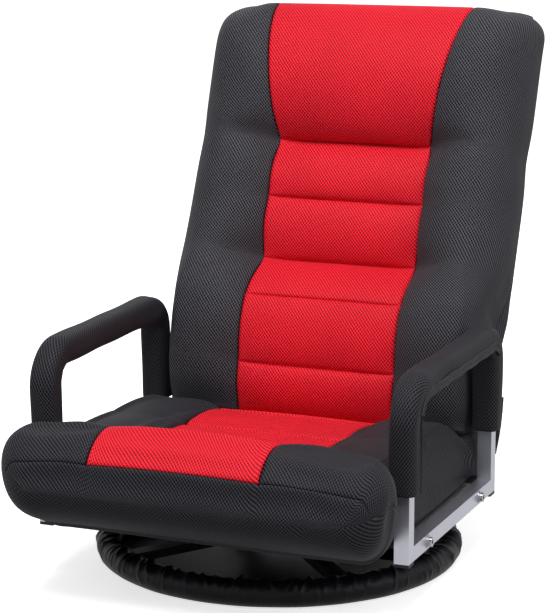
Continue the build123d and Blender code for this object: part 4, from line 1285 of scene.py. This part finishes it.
def build_binding(name, rows, profile, sign, inset, sway):
    """A strip on the sleeve's outer face along some places of the arm's path."""
    rings = []
    for k, (y, z, out_y, out_z) in enumerate(rows):
        ring = []
        for across, out in profile:
            inward = inset + across + sway * waves(k, sway_waves)
            ring.append((sign * (arm_x + sleeve_half + out), y - out_y * inward, z - out_z * inward))
        rings.append(ring)
    points, faces, uv = tube_grid(rings)
    ends = np.arange(len(points)).reshape(len(rings), -1)
    faces += [tuple(ends[0]), tuple(ends[-1][::-1])]
    piece = mesh_object(name, points, faces if sign > 0 else flipped(faces), binding, uv)
    refine(piece)
    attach(piece, "seat")
    return piece


def build_bindings(side, sign):
    path = arm_path()
    rest = [place for place in path if place[3] > binding_end]
    leg = [place for place in path if place[2] < -binding_end]
    strip = build_binding("arm_binding_" + side, rest, strip_profile, sign, strip_inset, strip_sway)
    build_binding("arm_flap_edge_" + side, leg, edge_profile, sign, edge_inset, edge_sway)
    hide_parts("arm_closure_strip_" + side)


build_back()
build_back_flap()
build_seat()
for side_name, side_sign in (("left", 1), ("right", -1)):
    build_sleeve(side_name, side_sign)
    build_bindings(side_name, side_sign)
build_joint_cover()
build_bottom_cloth()
build_base_cover()


# Floor, light and camera

floor_size = 40
floor_drop = 0.0005
floor_in_mirrors = 0.55     # glow of the floor where metal mirrors it
floor_seen = 0.92           # tone of the floor as it is seen, and for the light that it throws back
floor_unseen = 0.25
contact_shade = 0.66        # glow of the seen floor beneath the chair; it grows to one between two distances
contact_start = 0.25
contact_end = 0.9
world_light = 0.22
# Place, target, size and power of each lamp
lamps = {"overhead": ((0.2, -1.3, 3.1), (0, 0, 0.4), (1.8, 1.8), 92),
         "front_left": ((-2.2, -2.4, 2.2), (0, 0, 0.5), (1.6, 1.6), 14),
         "right": ((2.8, -0.6, 1.6), (0, 0, 0.3), (1.4, 1.8), 34)}


def seeing_rays(tree):
    """Rays that see the surroundings directly, and rays that see them mirrored or through glass, as ones."""
    rays = tree.nodes.new("ShaderNodeLightPath").outputs
    mirrored = add(tree, "Math", "Value", {0: rays["Is Glossy Ray"], 1: rays["Is Transmission Ray"]},
                   operation="MAXIMUM")
    return rays["Is Camera Ray"], mirrored


def build_stage():
    bpy.ops.mesh.primitive_plane_add(size=floor_size, location=(0, 0, -floor_drop))
    floor = bpy.context.object
    floor.name = "floor"
    material, tree, shader = new_material("floor")
    direct, mirrored = seeing_rays(tree)
    spot = add(tree, "TexCoord", "Object", {})
    distance = add(tree, "VectorMath", "Value", {0: spot}, operation="LENGTH")
    fade = add(tree, "MapRange", "Result", {"Value": distance, "From Min": contact_start,
                                            "From Max": contact_end, "To Min": contact_shade, "To Max": 1.0})
    in_mirrors = add(tree, "Math", "Value", {0: mirrored, 1: floor_in_mirrors}, operation="MULTIPLY")
    glow = add(tree, "Math", "Value", {0: direct, 1: fade, 2: in_mirrors}, operation="MULTIPLY_ADD")
    tone = add(tree, "MapRange", "Result", {"Value": direct, "To Min": floor_unseen, "To Max": floor_seen})
    feed(tree, shader, {"Base Color": tone, "Roughness": 0.9, "Emission Color": (1, 1, 1, 1),
                        "Emission Strength": glow})
    floor.data.materials.append(material)


def build_world():
    world = bpy.data.worlds.new("studio")
    scene.world = world
    world.use_nodes = True
    tree = world.node_tree
    direct, mirrored = seeing_rays(tree)
    seen = add(tree, "Math", "Value", {0: direct, 1: mirrored}, operation="MAXIMUM")
    strength = add(tree, "MapRange", "Result", {"Value": seen, "To Min": world_light, "To Max": 1.0})
    feed(tree, tree.nodes["Background"], {"Color": (1, 1, 1, 1), "Strength": strength})


def build_lamp(name, place, target, size, power):
    light = bpy.data.lights.new(name, "AREA")
    light.shape = "RECTANGLE"
    light.size, light.size_y = size
    light.energy = power
    lamp = bpy.data.objects.new(name, light)
    lamp.location = place
    lamp.rotation_mode = "QUATERNION"
    lamp.rotation_quaternion = (Vector(target) - Vector(place)).to_track_quat("-Z", "Y")
    scene.collection.objects.link(lamp)


def build_camera():
    data = bpy.data.cameras.new("camera")
    data.lens = camera_lens
    data.sensor_width = camera_sensor
    data.shift_x = camera_shift
    data.clip_end = camera_reach
    camera = bpy.data.objects.new("camera", data)
    turn = Matrix((camera_right, camera_up, camera_back)).transposed()
    camera.matrix_world = Matrix.Translation(camera_place) @ turn.to_4x4()
    scene.collection.objects.link(camera)
    scene.camera = camera


build_stage()
build_world()
for lamp_name, lamp_settings in lamps.items():
    build_lamp(lamp_name, *lamp_settings)
build_camera()
scene.view_settings.view_transform = "Standard"
